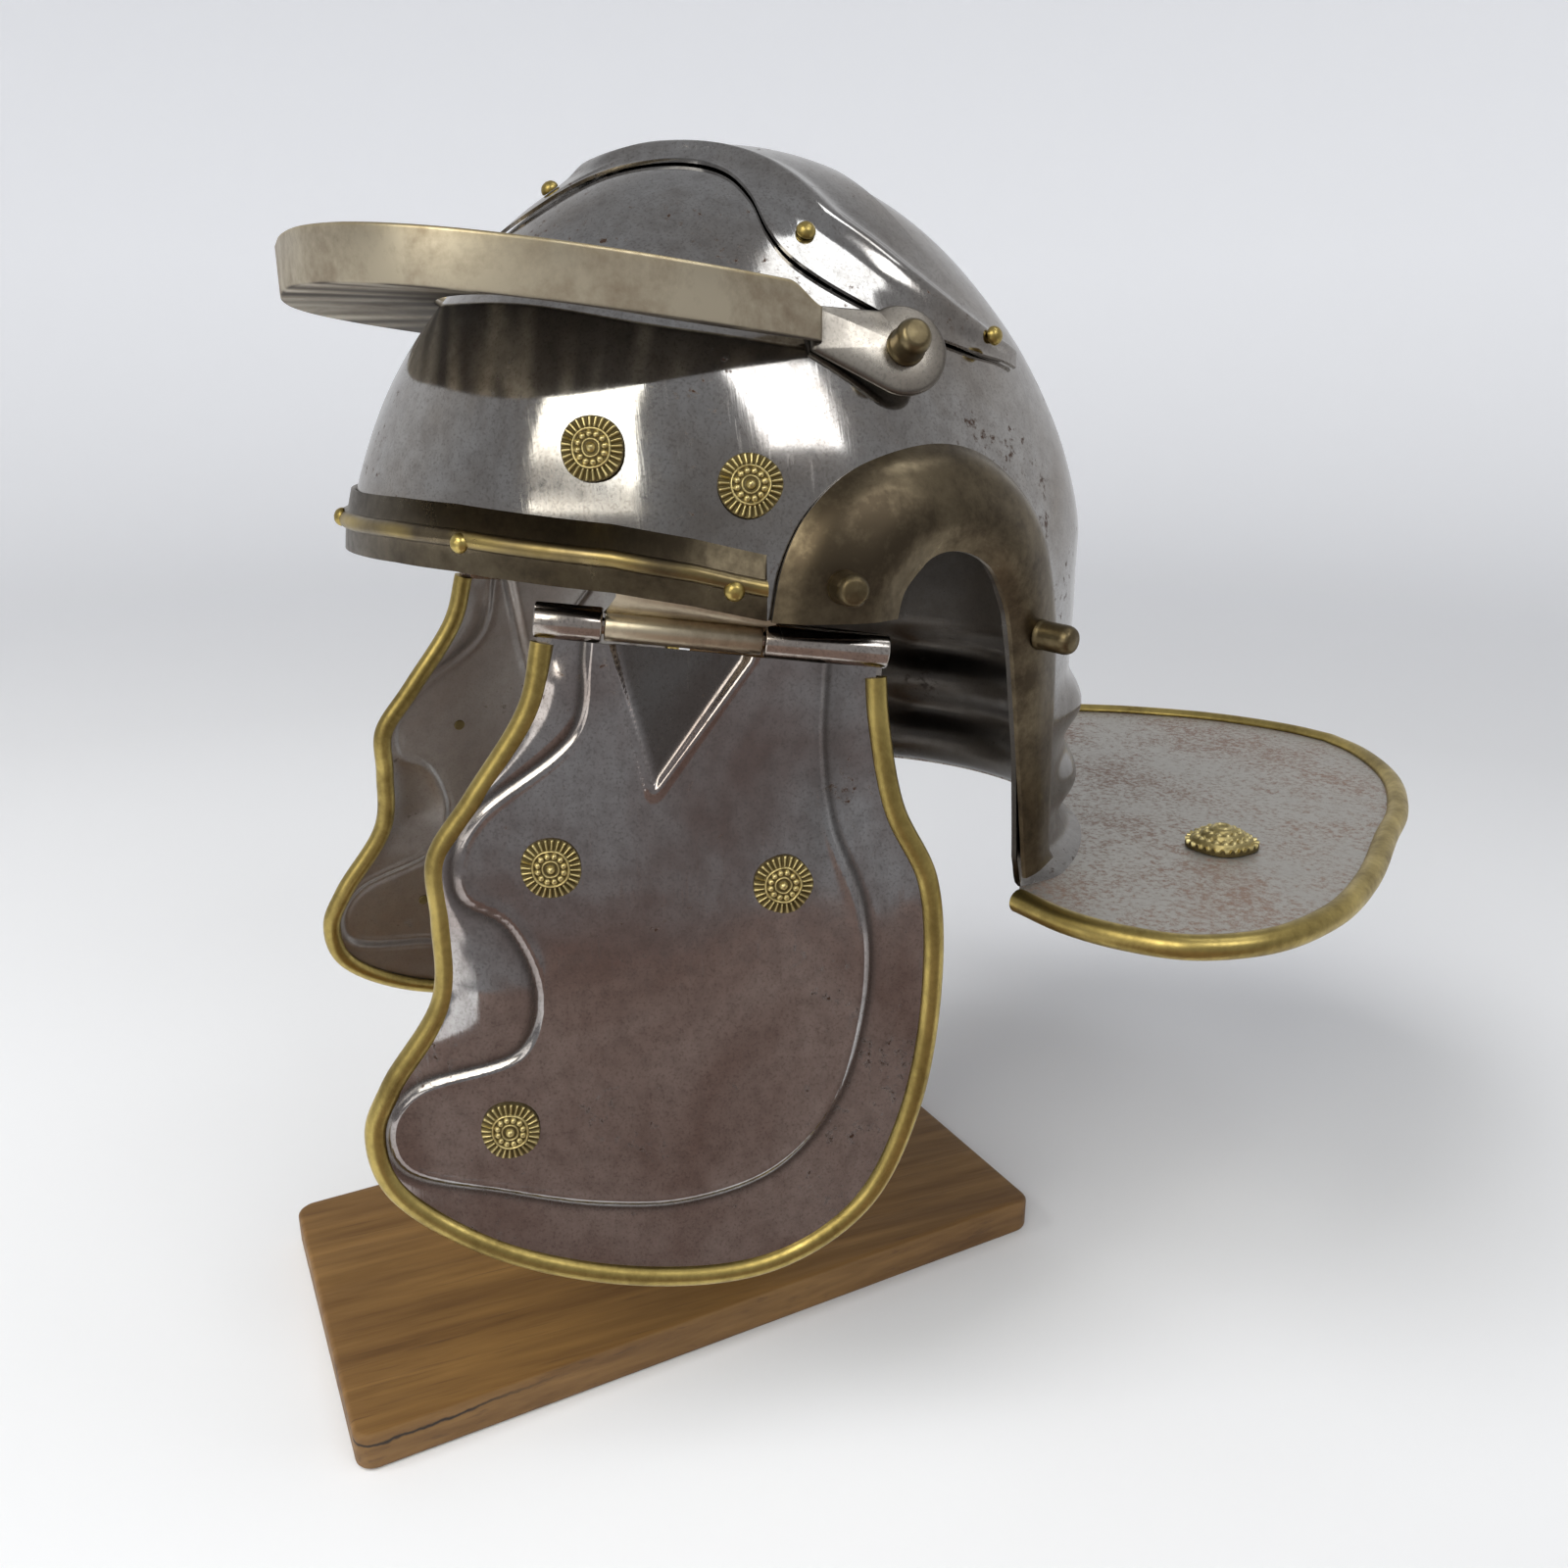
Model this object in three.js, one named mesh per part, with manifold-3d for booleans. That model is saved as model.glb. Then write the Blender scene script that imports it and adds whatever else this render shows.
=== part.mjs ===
// Roman legionary helmet on a plain wooden stand.
// Millimetres. +Z is up, -Y is the front of the helmet, +X is the wearer's left.
// The origin is the centre of the underside of the stand's base.
// A bearing is an angle around the bowl in degrees: 0 at the front, 90 at the wearer's left ear.

import * as THREE from 'three';
import { mergeVertices } from 'three/addons/utils/BufferGeometryUtils.js';
import Module from 'manifold-3d';

const wasm = await Module();
wasm.setup();

// Driving dimensions

const GAP = 0.3;
const WELD = 1e-3;

const STAND = {
  length: 235,
  width: 119,
  thickness: 12,
  cornerRadius: 5,
  edgeRound: 2.5,
  turnDeg: 5.8,
  postRadius: 13,
  capRadius: 34,
  capDrop: 26,
};

const BOWL = {
  halfLength: 111.5,
  halfWidth: 92.8,
  centreY: 27.3,
  wallTop: 247.6,
  domeHeight: 106.5,
  domePower: 1.52,
  wall: 1.6,
};

// Lower edge of the bowl: along the brow, then around the ear opening.
const BOWL_EDGE = [
  { bearing: 0, z: 247.5 },
  { bearing: 12, z: 247.6 },
  { bearing: 24, z: 247.6 },
  { bearing: 36, z: 246.9 },
  { bearing: 48, z: 245.0 },
  { bearing: 59, z: 243.2 },
  { bearing: 69, z: 240.0 },
  { bearing: 78, z: 236.0 },
  { bearing: 86.5, z: 235.3 },
  { bearing: 94.8, z: 235.0 },
  { bearing: 95.6, z: 241.2 },
  { bearing: 97.2, z: 245.4 },
  { bearing: 99.4, z: 249.0 },
  { bearing: 102.4, z: 250.4 },
  { bearing: 106, z: 249.4 },
  { bearing: 109.6, z: 245.9 },
  { bearing: 112.2, z: 239.6 },
  { bearing: 114.5, z: 231.0 },
  { bearing: 116.4, z: 216.0 },
  { bearing: 119.1, z: 190.6 },
];

const NECK = {
  cornerBearing: 123.3,
  napeBearings: [123.3, 125, 128, 131.5, 136, 142, 149, 156.5, 164, 170.5, 175.5, 180],
  level: 150,
  levelY: 104,
  riseDeg: 1.5,
  flare: 9,
  flareFade: [120, 132],
  ribFade: [132, 148],
  ribHalf: 11.5,
  ribProud: 4.5,
  ribHeights: [172, 196],
  rimRadius: 3.5,
};

// Plan of the neck guard's edge, from the corner under the ear to the middle of the back.
const NECK_EDGE = [
  { x: 86, y: 84 },
  { x: 105, y: 88 },
  { x: 120, y: 96 },
  { x: 132, y: 108 },
  { x: 137.5, y: 129 },
  { x: 132, y: 156 },
  { x: 117, y: 184 },
  { x: 92, y: 218 },
  { x: 75, y: 241 },
  { x: 48, y: 266 },
  { x: 19, y: 281 },
  { x: 0, y: 285 },
];

const BROW = {
  flangeTop: 313,
  levelY: 22,
  riseDeg: 6,
  flangeHeight: 12.5,
  flangeThickness: 3,
  plateThickness: 2,
  clearance: 2.5,
  stations: 30,
  lugBearing: 101,
  lugZ: 296.6,
  lugRadius: 11.4,
  lugReach: 23.4,
  lugLift: 4.2,
  lugThickness: 3.6,
  lugTurnDeg: 7,
  lugRiseDeg: 21,
  neckHalf: 5.5,
  neckRise: 5.4,
};

// Plan of the brow guard's outer edge, from the middle of the front to the end by the lug.
const BROW_EDGE = [
  { x: 0, y: -95.5 },
  { x: 25, y: -94.5 },
  { x: 46, y: -90.5 },
  { x: 64, y: -81.5 },
  { x: 77, y: -67 },
  { x: 84.5, y: -49 },
  { x: 87.5, y: -28 },
  { x: 86.5, y: -6 },
  { x: 83.5, y: 12 },
  { x: 80.5, y: 24 },
];

const BAND = {
  endBearing: 78.1,
  height: 15.6,
  thickness: 1.2,
  beadHalf: 2.2,
  beadProud: 2.2,
};

// Ear guard: the edge by the opening, the edge on the bowl, and how far the band stands out between them,
// from the front foot to the rear foot.
const EAR = {
  thickness: 1.3,
  lift: 0.9,
};
const EAR_STATIONS = [
  { innerBearing: 94.8, innerZ: 235.2, outerBearing: 78.6, outerZ: 235.7, proud: 5.5 },
  { innerBearing: 95.6, innerZ: 241.2, outerBearing: 80.1, outerZ: 249.5, proud: 5.5 },
  { innerBearing: 97.2, innerZ: 245.4, outerBearing: 83.8, outerZ: 261.6, proud: 5.5 },
  { innerBearing: 99.4, innerZ: 249.0, outerBearing: 90.8, outerZ: 271.1, proud: 5.5 },
  { innerBearing: 102.4, innerZ: 250.4, outerBearing: 102.4, outerZ: 275.8, proud: 5.5 },
  { innerBearing: 106, innerZ: 249.4, outerBearing: 112.2, outerZ: 272.7, proud: 5.5 },
  { innerBearing: 109.6, innerZ: 245.9, outerBearing: 120.2, outerZ: 261.5, proud: 5.2 },
  { innerBearing: 112.2, innerZ: 239.6, outerBearing: 125.4, outerZ: 245.1, proud: 4.6 },
  { innerBearing: 114.5, innerZ: 231.0, outerBearing: 128.8, outerZ: 228, proud: 4.0 },
  { innerBearing: 116.4, innerZ: 216.0, outerBearing: 130, outerZ: 214, proud: 3.5 },
  { innerBearing: 119.1, innerZ: 190.6, outerBearing: 131, outerZ: 188, proud: 2.9 },
  { innerBearing: 122.9, innerZ: 155.5, outerBearing: 132.5, outerZ: 156.5, proud: 2.5 },
];
// Section of the ear guard from its edge on the bowl (0) to the opening (1).
const EAR_SECTION = [
  { across: 0, rise: 0 },
  { across: 0.14, rise: 0.5 },
  { across: 0.42, rise: 0.93 },
  { across: 0.75, rise: 1 },
  { across: 1, rise: 0.4 },
];

// Crest plate: plan of its front and rear edges and of the embossed ridge, from the middle to a tail.
const CREST = {
  lift: 0.7,
  thickness: 1.2,
  ridgeProud: 2.4,
  across: [0, 0.5, 1, 1.5, 2],
};
const CREST_STATIONS = [
  { frontX: 0, frontY: -37, ridge: 0.30, rearX: 0, rearY: 50 },
  { frontX: 7, frontY: -31, ridge: 0.30, rearX: 7, rearY: 50.3 },
  { frontX: 12, frontY: -15, ridge: 0.23, rearX: 14, rearY: 51 },
  { frontX: 19, frontY: -3, ridge: 0.18, rearX: 21, rearY: 52.5 },
  { frontX: 27, frontY: 8, ridge: 0.18, rearX: 28, rearY: 54.5 },
  { frontX: 35, frontY: 15, ridge: 0.22, rearX: 35, rearY: 57.5 },
  { frontX: 45, frontY: 18, ridge: 0.29, rearX: 41, rearY: 60 },
  { frontX: 55.5, frontY: 19, ridge: 0.37, rearX: 47, rearY: 63.5 },
  { frontX: 62.5, frontY: 23.5, ridge: 0.45, rearX: 51, rearY: 68 },
  { frontX: 68, frontY: 35, ridge: 0.48, rearX: 54, rearY: 73 },
  { frontX: 70.2, frontY: 52, ridge: 0.5, rearX: 56, rearY: 79 },
  { frontX: 66.5, frontY: 72, ridge: 0.5, rearX: 56.8, rearY: 85 },
  { frontX: 58.2, frontY: 90, ridge: 0.5, rearX: 57, rearY: 90.5 },
];

// Hinge line of the left cheek guard, and how far the guard leans out from it.
const HINGE = {
  front: new THREE.Vector3(64.5, -46.7, 235.3),
  rear: new THREE.Vector3(89, 39.5, 225.4),
  leanOut: new THREE.Vector3(0.9601, -0.2611, 0.1005),
  knuckleRadius: 4.6,
  leafKnuckleRadius: 4.0,
  boreRadius: 2.4,
  pinRadius: 2.1,
  frontKnuckle: [0, 16.6],
  leafKnuckle: [17.2, 56.6],
  rearKnuckle: [57.2, 89],
  leafThickness: 1.3,
  leafHeight: 8,
};

const CHEEK = {
  plate: 1.5,
  topDrop: 4.7,
  rimRadius: 3,
  stations: 36,
  panelProud: 1.5,
  triangleDepth: 1.3,
  rightSwingDeg: 6,
};
// Outer edge of the left cheek guard seen square on: distance behind the hinge's front end, and drop.
const CHEEK_EDGE = [
  { back: -0.7, drop: 5.2 },
  { back: -2.6, drop: 20.9 },
  { back: -14.8, drop: 45.2 },
  { back: -23.3, drop: 62.1 },
  { back: -21.4, drop: 79 },
  { back: -20.1, drop: 99.2 },
  { back: -31.9, drop: 123.7 },
  { back: -35.7, drop: 138 },
  { back: -29.4, drop: 155.2 },
  { back: -0.9, drop: 172.8 },
  { back: 41.4, drop: 180.3 },
  { back: 77.4, drop: 174.5 },
  { back: 101.4, drop: 155.4 },
  { back: 112.4, drop: 125.9 },
  { back: 114.4, drop: 87.8 },
  { back: 109.4, drop: 58.3 },
  { back: 98, drop: 39.3 },
  { back: 91.4, drop: 16.9 },
  { back: 89.6, drop: 6.4 },
];
// Raised panel of the cheek guard: two scallops at the front, then the long sweep below and behind.
const CHEEK_PANEL = [
  { back: 13.9, drop: 7 },
  { back: 12.5, drop: 26.7 },
  { back: -9.9, drop: 49.3 },
  { back: -14.5, drop: 58 },
  { back: -13.5, drop: 71 },
  { back: -1.5, drop: 77.7 },
  { back: 7.6, drop: 95.9 },
  { back: 4.2, drop: 112.4 },
  { back: -22.8, drop: 125.2 },
  { back: -28.5, drop: 136 },
  { back: -24.5, drop: 146.5 },
  { back: 2.7, drop: 151.8 },
  { back: 29, drop: 154.4 },
  { back: 50.3, drop: 152.6 },
  { back: 73.7, drop: 142.1 },
  { back: 87.9, drop: 121.2 },
  { back: 92.5, drop: 88.5 },
  { back: 88.7, drop: 66.7 },
  { back: 78.5, drop: 46 },
  { back: 73.8, drop: 25.5 },
  { back: 72.7, drop: 7 },
];
const CHEEK_TRIANGLE = [
  { back: 19.5, drop: 8 },
  { back: 50.8, drop: 8 },
  { back: 32.7, drop: 42.1 },
];
const CHEEK_ROSETTES = [
  { name: 'upper_front', back: 8.2, drop: 61.9 },
  { name: 'upper_rear', back: 67.7, drop: 62.2 },
  { name: 'lower', back: 2.2, drop: 133.9 },
];

const BOWL_ROSETTES = [
  { name: 'front', bearing: 55.6, z: 275.9 },
  { name: 'rear', bearing: 76.3, z: 267.5 },
];
const NECK_ROSETTE = { x: 77, y: 164.5 };
const BAND_RIVETS = [
  { name: 'side', bearing: 37.7, z: 253.4 },
  { name: 'rear', bearing: 74, z: 243.6 },
];
const BAND_FRONT_RIVET = { bearing: 0, z: 255.6 };
const CREST_RIVETS = [
  { name: 'mid', station: 7.4, across: 0.42 },
  { name: 'tail', station: 10.95, across: 0.88 },
];
const CREST_FRONT_RIVET = { station: 0, across: 0.57 };
const EAR_POSTS = [
  { name: 'front', station: 0.85, across: 0.45 },
  { name: 'rear', station: 8.3, across: 0.64 },
];

// Turned forms: radius and height pairs from the seat to the top.
const ROSETTE_TURN = [[0, 0], [7.7, 0], [7.3, 1.5], [4.2, 2.1], [1.6, 3.2], [0, 3.4]];
const NECK_ROSETTE_TURN = [[0, 0], [11, 0], [10.4, 2], [7.4, 4.4], [3.4, 6], [0, 6.5]];
const RIVET_TURN = [[0, 0], [2.6, 0], [2.2, 1.5], [0, 2.5]];
const POST_TURN = [[0, 0], [4.2, 0], [4.2, 8.6], [2.9, 10.6], [0, 11.2]];
const LUG_RIVET_TURN = [[0, 0], [5, 0], [5, 5.5], [3.4, 7.8], [0, 8.6]];

const COLOURS = {
  steel: 0x6f7478,
  brass: 0x8a7238,
  brownBrass: 0x5a4524,
  wood: 0x7a5a3a,
};

// Solids from points

const rad = THREE.MathUtils.degToRad;
const smooth = (value, from, to) => THREE.MathUtils.smoothstep(value, from, to);

// One closed, outward-facing geometry with shared vertices and no collapsed triangles.
function weld(geometry) {
  const bare = new THREE.BufferGeometry();
  bare.setAttribute('position', geometry.getAttribute('position').clone());
  if (geometry.index) bare.setIndex(geometry.index.clone());
  const merged = mergeVertices(bare, WELD);
  const place = merged.getAttribute('position');
  const corner = (i) => new THREE.Vector3().fromBufferAttribute(place, i);
  const kept = [];
  let volume = 0;
  for (let i = 0; i < merged.index.count; i += 3) {
    const [a, b, c] = [0, 1, 2].map((k) => merged.index.getX(i + k));
    if (a === b || b === c || c === a) continue;
    kept.push([a, b, c]);
    volume += corner(a).dot(corner(b).cross(corner(c)));
  }
  const facing = volume < 0 ? kept.map(([a, b, c]) => [a, c, b]) : kept;
  merged.setIndex(facing.flat());
  merged.computeVertexNormals();
  return merged;
}

function geometryFrom(points, index) {
  const geometry = new THREE.BufferGeometry();
  geometry.setAttribute('position', new THREE.Float32BufferAttribute(points.flatMap((p) => p.toArray()), 3));
  geometry.setIndex(index);
  return weld(geometry);
}

// A sheet of metal: a grid of points on its outer face and one on its inner face, joined along the edges.
function sheet(outer, inner, wrap = false) {
  const rows = outer.length;
  const cols = outer[0].length;
  const half = rows * cols;
  const at = (r, c) => r * cols + (c % cols);
  const cells = wrap ? cols : cols - 1;
  const index = [];
  const quad = (a, b, c, d) => index.push(a, b, c, a, c, d);
  for (let r = 0; r < rows - 1; r++) {
    for (let c = 0; c < cells; c++) {
      const [a, b, d, e] = [at(r, c), at(r, c + 1), at(r + 1, c), at(r + 1, c + 1)];
      quad(a, b, e, d);
      quad(half + a, half + d, half + e, half + b);
    }
  }
  for (let c = 0; c < cells; c++) {
    const [a, b, d, e] = [at(0, c), at(0, c + 1), at(rows - 1, c), at(rows - 1, c + 1)];
    quad(b, a, half + a, half + b);
    quad(d, e, half + e, half + d);
  }
  for (let r = 0; r < rows - 1 && !wrap; r++) {
    const [a, d, b, e] = [at(r, 0), at(r + 1, 0), at(r, cols - 1), at(r + 1, cols - 1)];
    quad(a, d, half + d, half + a);
    quad(e, b, half + b, half + e);
  }
  return geometryFrom([...outer.flat(), ...inner.flat()], index);
}

// A bar: the same closed outline at every station, capped at both ends.
function bar(sections, outline) {
  const sides = outline.length;
  const index = [];
  for (let s = 0; s < sections.length - 1; s++) {
    for (let k = 0; k < sides; k++) {
      const next = (k + 1) % sides;
      const [a, b] = [s * sides + k, s * sides + next];
      const [d, e] = [a + sides, b + sides];
      index.push(a, b, e, a, e, d);
    }
  }
  const last = (sections.length - 1) * sides;
  const turn = THREE.ShapeUtils.isClockWise(outline) ? 1 : -1;
  for (const face of THREE.ShapeUtils.triangulateShape(outline, [])) {
    const [a, b, c] = turn > 0 ? face : [face[0], face[2], face[1]];
    index.push(a, b, c, last + a, last + c, last + b);
  }
  return geometryFrom(sections.flat(), index);
}

function turned(profile, segments) {
  const points = profile.map(([r, h]) => new THREE.Vector2(r, h));
  return weld(new THREE.LatheGeometry(points, segments));
}

function mirrored(geometry) {
  return weld(geometry.clone().applyMatrix4(new THREE.Matrix4().makeScale(-1, 1, 1)));
}

// Stands a turned form on a surface point, along the surface's outward direction.
function stood(geometry, point, outward) {
  const turn = new THREE.Quaternion().setFromUnitVectors(new THREE.Vector3(0, 1, 0), outward);
  const matrix = new THREE.Matrix4().compose(point, turn, new THREE.Vector3(1, 1, 1));
  return weld(geometry.clone().applyMatrix4(matrix));
}

function toManifold(geometry) {
  const welded = weld(geometry);
  return new wasm.Manifold(new wasm.Mesh({
    numProp: 3,
    vertProperties: new Float32Array(welded.getAttribute('position').array),
    triVerts: new Uint32Array(welded.index.array),
  }));
}

function fromManifold(solid) {
  const mesh = solid.getMesh();
  const geometry = new THREE.BufferGeometry();
  geometry.setAttribute('position', new THREE.BufferAttribute(new Float32Array(mesh.vertProperties), 3));
  geometry.setIndex([...mesh.triVerts]);
  return weld(geometry);
}

function joined(geometries, removed = []) {
  const added = geometries.map(toManifold).reduce((a, b) => a.add(b));
  return fromManifold(removed.map(toManifold).reduce((a, b) => a.subtract(b), added));
}

// Evenly spaced points of a smooth curve through the rows of a plan table.
function spaced(points, count) {
  return new THREE.CatmullRomCurve3(points, false, 'centripetal').getSpacedPoints(count);
}

// A plan from one end to the other, from a table of its left half that starts in the middle.
function bothSides(left) {
  const right = left.slice(1).map((p) => new THREE.Vector3(-p.x, p.y, p.z));
  return [...right.reverse(), ...left];
}

// Outline of a rolled edging: a round bar with a slot that takes the sheet's edge.
function rolledOutline(radius, sheetThickness) {
  const slot = sheetThickness / 2 + GAP;
  const lip = Math.PI - Math.asin(slot / radius);
  const arcs = 5;
  const outline = [new THREE.Vector2(GAP, slot)];
  for (let k = 0; k <= arcs; k++) {
    const angle = lip - (2 * lip * k) / arcs;
    outline.push(new THREE.Vector2(radius * Math.cos(angle), radius * Math.sin(angle)));
  }
  outline.push(new THREE.Vector2(GAP, -slot));
  return outline;
}

// A rolled edging along a path that lies in a plane; the slot opens away from `outward`.
function rolledEdging(path, up, radius, sheetThickness, outwardSign) {
  const outline = rolledOutline(radius, sheetThickness);
  const sections = path.map((point, i) => {
    const along = path[Math.min(i + 1, path.length - 1)].clone().sub(path[Math.max(i - 1, 0)]).normalize();
    const outward = along.clone().cross(up).normalize().multiplyScalar(outwardSign);
    return outline.map((o) => point.clone().addScaledVector(outward, o.x).addScaledVector(up, o.y));
  });
  return bar(sections, outline);
}

// The bowl's surface

function neckLevel(y) {
  return NECK.level + (y - NECK.levelY) * Math.tan(rad(NECK.riseDeg));
}

// How far the wall stands out of the plain ellipse: two ribs at the nape and the flare into the neck guard.
function napeSwell(bearing, z, y) {
  const around = Math.abs(bearing);
  const ribs = NECK.ribHeights.reduce((sum, height) => {
    const offset = Math.min(Math.abs(z - height) / NECK.ribHalf, 1);
    return sum + NECK.ribProud * Math.cos((offset * Math.PI) / 2) ** 2;
  }, 0);
  const below = NECK.flare - THREE.MathUtils.clamp(z - neckLevel(y), 0, NECK.flare);
  const flare = NECK.flare - Math.sqrt(NECK.flare ** 2 - below ** 2);
  return ribs * smooth(around, ...NECK.ribFade) + flare * smooth(around, ...NECK.flareFade);
}

function bowlSurface(bearing, z) {
  const [s, c] = [Math.sin(rad(bearing)), Math.cos(rad(bearing))];
  if (z > BOWL.wallTop) {
    const rise = Math.min((z - BOWL.wallTop) / BOWL.domeHeight, 1);
    const r = Math.sqrt(Math.max(1 - rise ** BOWL.domePower, 0));
    return new THREE.Vector3(BOWL.halfWidth * r * s, BOWL.centreY - BOWL.halfLength * r * c, z);
  }
  const wall = new THREE.Vector3(BOWL.halfWidth * s, BOWL.centreY - BOWL.halfLength * c, z);
  const out = new THREE.Vector3(s / BOWL.halfWidth, -c / BOWL.halfLength, 0).normalize();
  return wall.addScaledVector(out, napeSwell(bearing, z, wall.y));
}

function bowlOutward(bearing, z) {
  const p = bowlSurface(bearing, z);
  if (z > BOWL.wallTop) {
    const rise = (z - BOWL.wallTop) / BOWL.domeHeight;
    const slope = (BOWL.domePower * rise ** (BOWL.domePower - 1)) / BOWL.domeHeight;
    return new THREE.Vector3(
      (2 * p.x) / BOWL.halfWidth ** 2,
      (2 * (p.y - BOWL.centreY)) / BOWL.halfLength ** 2,
      slope,
    ).normalize();
  }
  const step = 0.2;
  const along = bowlSurface(bearing + step, z).sub(bowlSurface(bearing - step, z));
  const up = bowlSurface(bearing, z + step).sub(bowlSurface(bearing, z - step));
  return along.cross(up).normalize();
}

function onBowl(bearing, z, lift = 0) {
  return bowlSurface(bearing, z).addScaledVector(bowlOutward(bearing, z), lift);
}

// Bearing and height of the bowl's surface above a point of the plan.
function aboveBowl(x, y, lift) {
  const [across, along] = [x / BOWL.halfWidth, (BOWL.centreY - y) / BOWL.halfLength];
  const r2 = across ** 2 + along ** 2;
  const z = BOWL.wallTop + BOWL.domeHeight * (1 - r2) ** (1 / BOWL.domePower);
  return onBowl(THREE.MathUtils.radToDeg(Math.atan2(across, along)), z, lift);
}

// Height from a running value: 0 at the top of the wall, 1 at the crown, negative down the wall.
function heightAt(run) {
  if (run < 0) return BOWL.wallTop + run * BOWL.domeHeight;
  return BOWL.wallTop + BOWL.domeHeight * Math.sin((run * Math.PI) / 2) ** (2 / BOWL.domePower);
}

function runAt(z) {
  const rise = (z - BOWL.wallTop) / BOWL.domeHeight;
  return rise < 0 ? rise : (2 / Math.PI) * Math.asin(rise ** (BOWL.domePower / 2));
}

function edgeHeight(bearing) {
  const around = Math.abs(bearing);
  const next = BOWL_EDGE.findIndex((row) => row.bearing >= around);
  if (next <= 0) return BOWL_EDGE[next < 0 ? BOWL_EDGE.length - 1 : 0].z;
  const [a, b] = [BOWL_EDGE[next - 1], BOWL_EDGE[next]];
  return THREE.MathUtils.mapLinear(around, a.bearing, b.bearing, a.z, b.z);
}

// Bowl with its nape and neck guard

const neckCurve = new THREE.CatmullRomCurve3(
  NECK_EDGE.map((p) => new THREE.Vector3(p.x, p.y, neckLevel(p.y))), false, 'centripetal');

// The point of the neck guard's edge that belongs to a bearing of the nape.
function neckEdge(bearing) {
  const share = (Math.abs(bearing) - NECK.cornerBearing) / (180 - NECK.cornerBearing);
  const point = neckCurve.getPointAt(share);
  point.x *= Math.sign(bearing);
  return point;
}

function bowl() {
  const wallRows = NECK.ribHeights.flatMap((z) => [z - 6, z, z + 6, z + 12]);
  const domeRuns = [0, 0.22, 0.44, 0.66, 0.85, 1];
  const rowCount = 5 + wallRows.length + domeRuns.length;
  const down = new THREE.Vector3(0, 0, -BOWL.wall);

  const earColumn = (bearing) => {
    const first = runAt(edgeHeight(bearing));
    return Array.from({ length: rowCount }, (_, k) => {
      const z = heightAt(first + ((1 - first) * k) / (rowCount - 1));
      return [onBowl(bearing, z), onBowl(bearing, z, -BOWL.wall)];
    });
  };

  const napeColumn = (bearing) => {
    const rim = neckEdge(bearing);
    const foot = bowlSurface(bearing, neckLevel(bowlSurface(bearing, NECK.level).y));
    foot.z = neckLevel(foot.y);
    const flat = [rim, rim.clone().lerp(foot, 0.5), foot].map((p) => [p, p.clone().add(down)]);
    const curve = [0.3, 1].map((part) => foot.z + part * NECK.flare);
    const heights = [...curve, ...wallRows, ...domeRuns.map(heightAt)];
    return [...flat, ...heights.map((z) => [onBowl(bearing, z), onBowl(bearing, z, -BOWL.wall)])];
  };

  const left = [...BOWL_EDGE.map((row) => row.bearing), ...NECK.napeBearings];
  const right = left.slice(1, -1).map((bearing) => -bearing).reverse();
  const columns = [...left, ...right].map((bearing) => (
    Math.abs(bearing) < NECK.cornerBearing ? earColumn(bearing) : napeColumn(bearing)));
  const rows = Array.from({ length: rowCount }, (_, k) => k);
  return sheet(
    rows.map((k) => columns.map((column) => column[k][0])),
    rows.map((k) => columns.map((column) => column[k][1])),
    true,
  );
}

function neckRim() {
  const tilt = rad(NECK.riseDeg);
  const up = new THREE.Vector3(0, -Math.sin(tilt), Math.cos(tilt));
  const path = bothSides(NECK.napeBearings.map(neckEdge).reverse());
  path.forEach((p) => p.addScaledVector(up, -BOWL.wall / 2));
  return rolledEdging(path, up, NECK.rimRadius, BOWL.wall, -1);
}

// Brow guard

// The lugs face a little further forward than the skull behind them.
function lugOutward() {
  const [rise, turn] = [rad(BROW.lugRiseDeg), rad(BROW.lugTurnDeg)];
  return new THREE.Vector3(Math.cos(rise) * Math.cos(turn), -Math.cos(rise) * Math.sin(turn), Math.sin(rise));
}

function browLug() {
  const outward = lugOutward();
  const forward = new THREE.Vector3(0, 0, 1).cross(outward).normalize().negate();
  const up = outward.clone().cross(forward).normalize();
  const shape = new THREE.Shape();
  const shoulder = Math.PI / 3;
  shape.absarc(0, 0, BROW.lugRadius, shoulder, 2 * Math.PI - shoulder, false);
  shape.lineTo(BROW.lugReach, BROW.neckRise - BROW.neckHalf);
  shape.lineTo(BROW.lugReach, BROW.neckRise + BROW.neckHalf);
  const lug = new THREE.ExtrudeGeometry(shape, {
    depth: BROW.lugThickness,
    curveSegments: 14,
    bevelEnabled: false,
  });
  const basis = new THREE.Matrix4().makeBasis(forward, up, outward);
  basis.setPosition(onBowl(BROW.lugBearing, BROW.lugZ).addScaledVector(outward, BROW.lugLift));
  const turnedIn = new THREE.Matrix4().makeScale(1, up.z > 0 ? 1 : -1, 1);
  return lug.applyMatrix4(basis.multiply(turnedIn));
}

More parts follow.
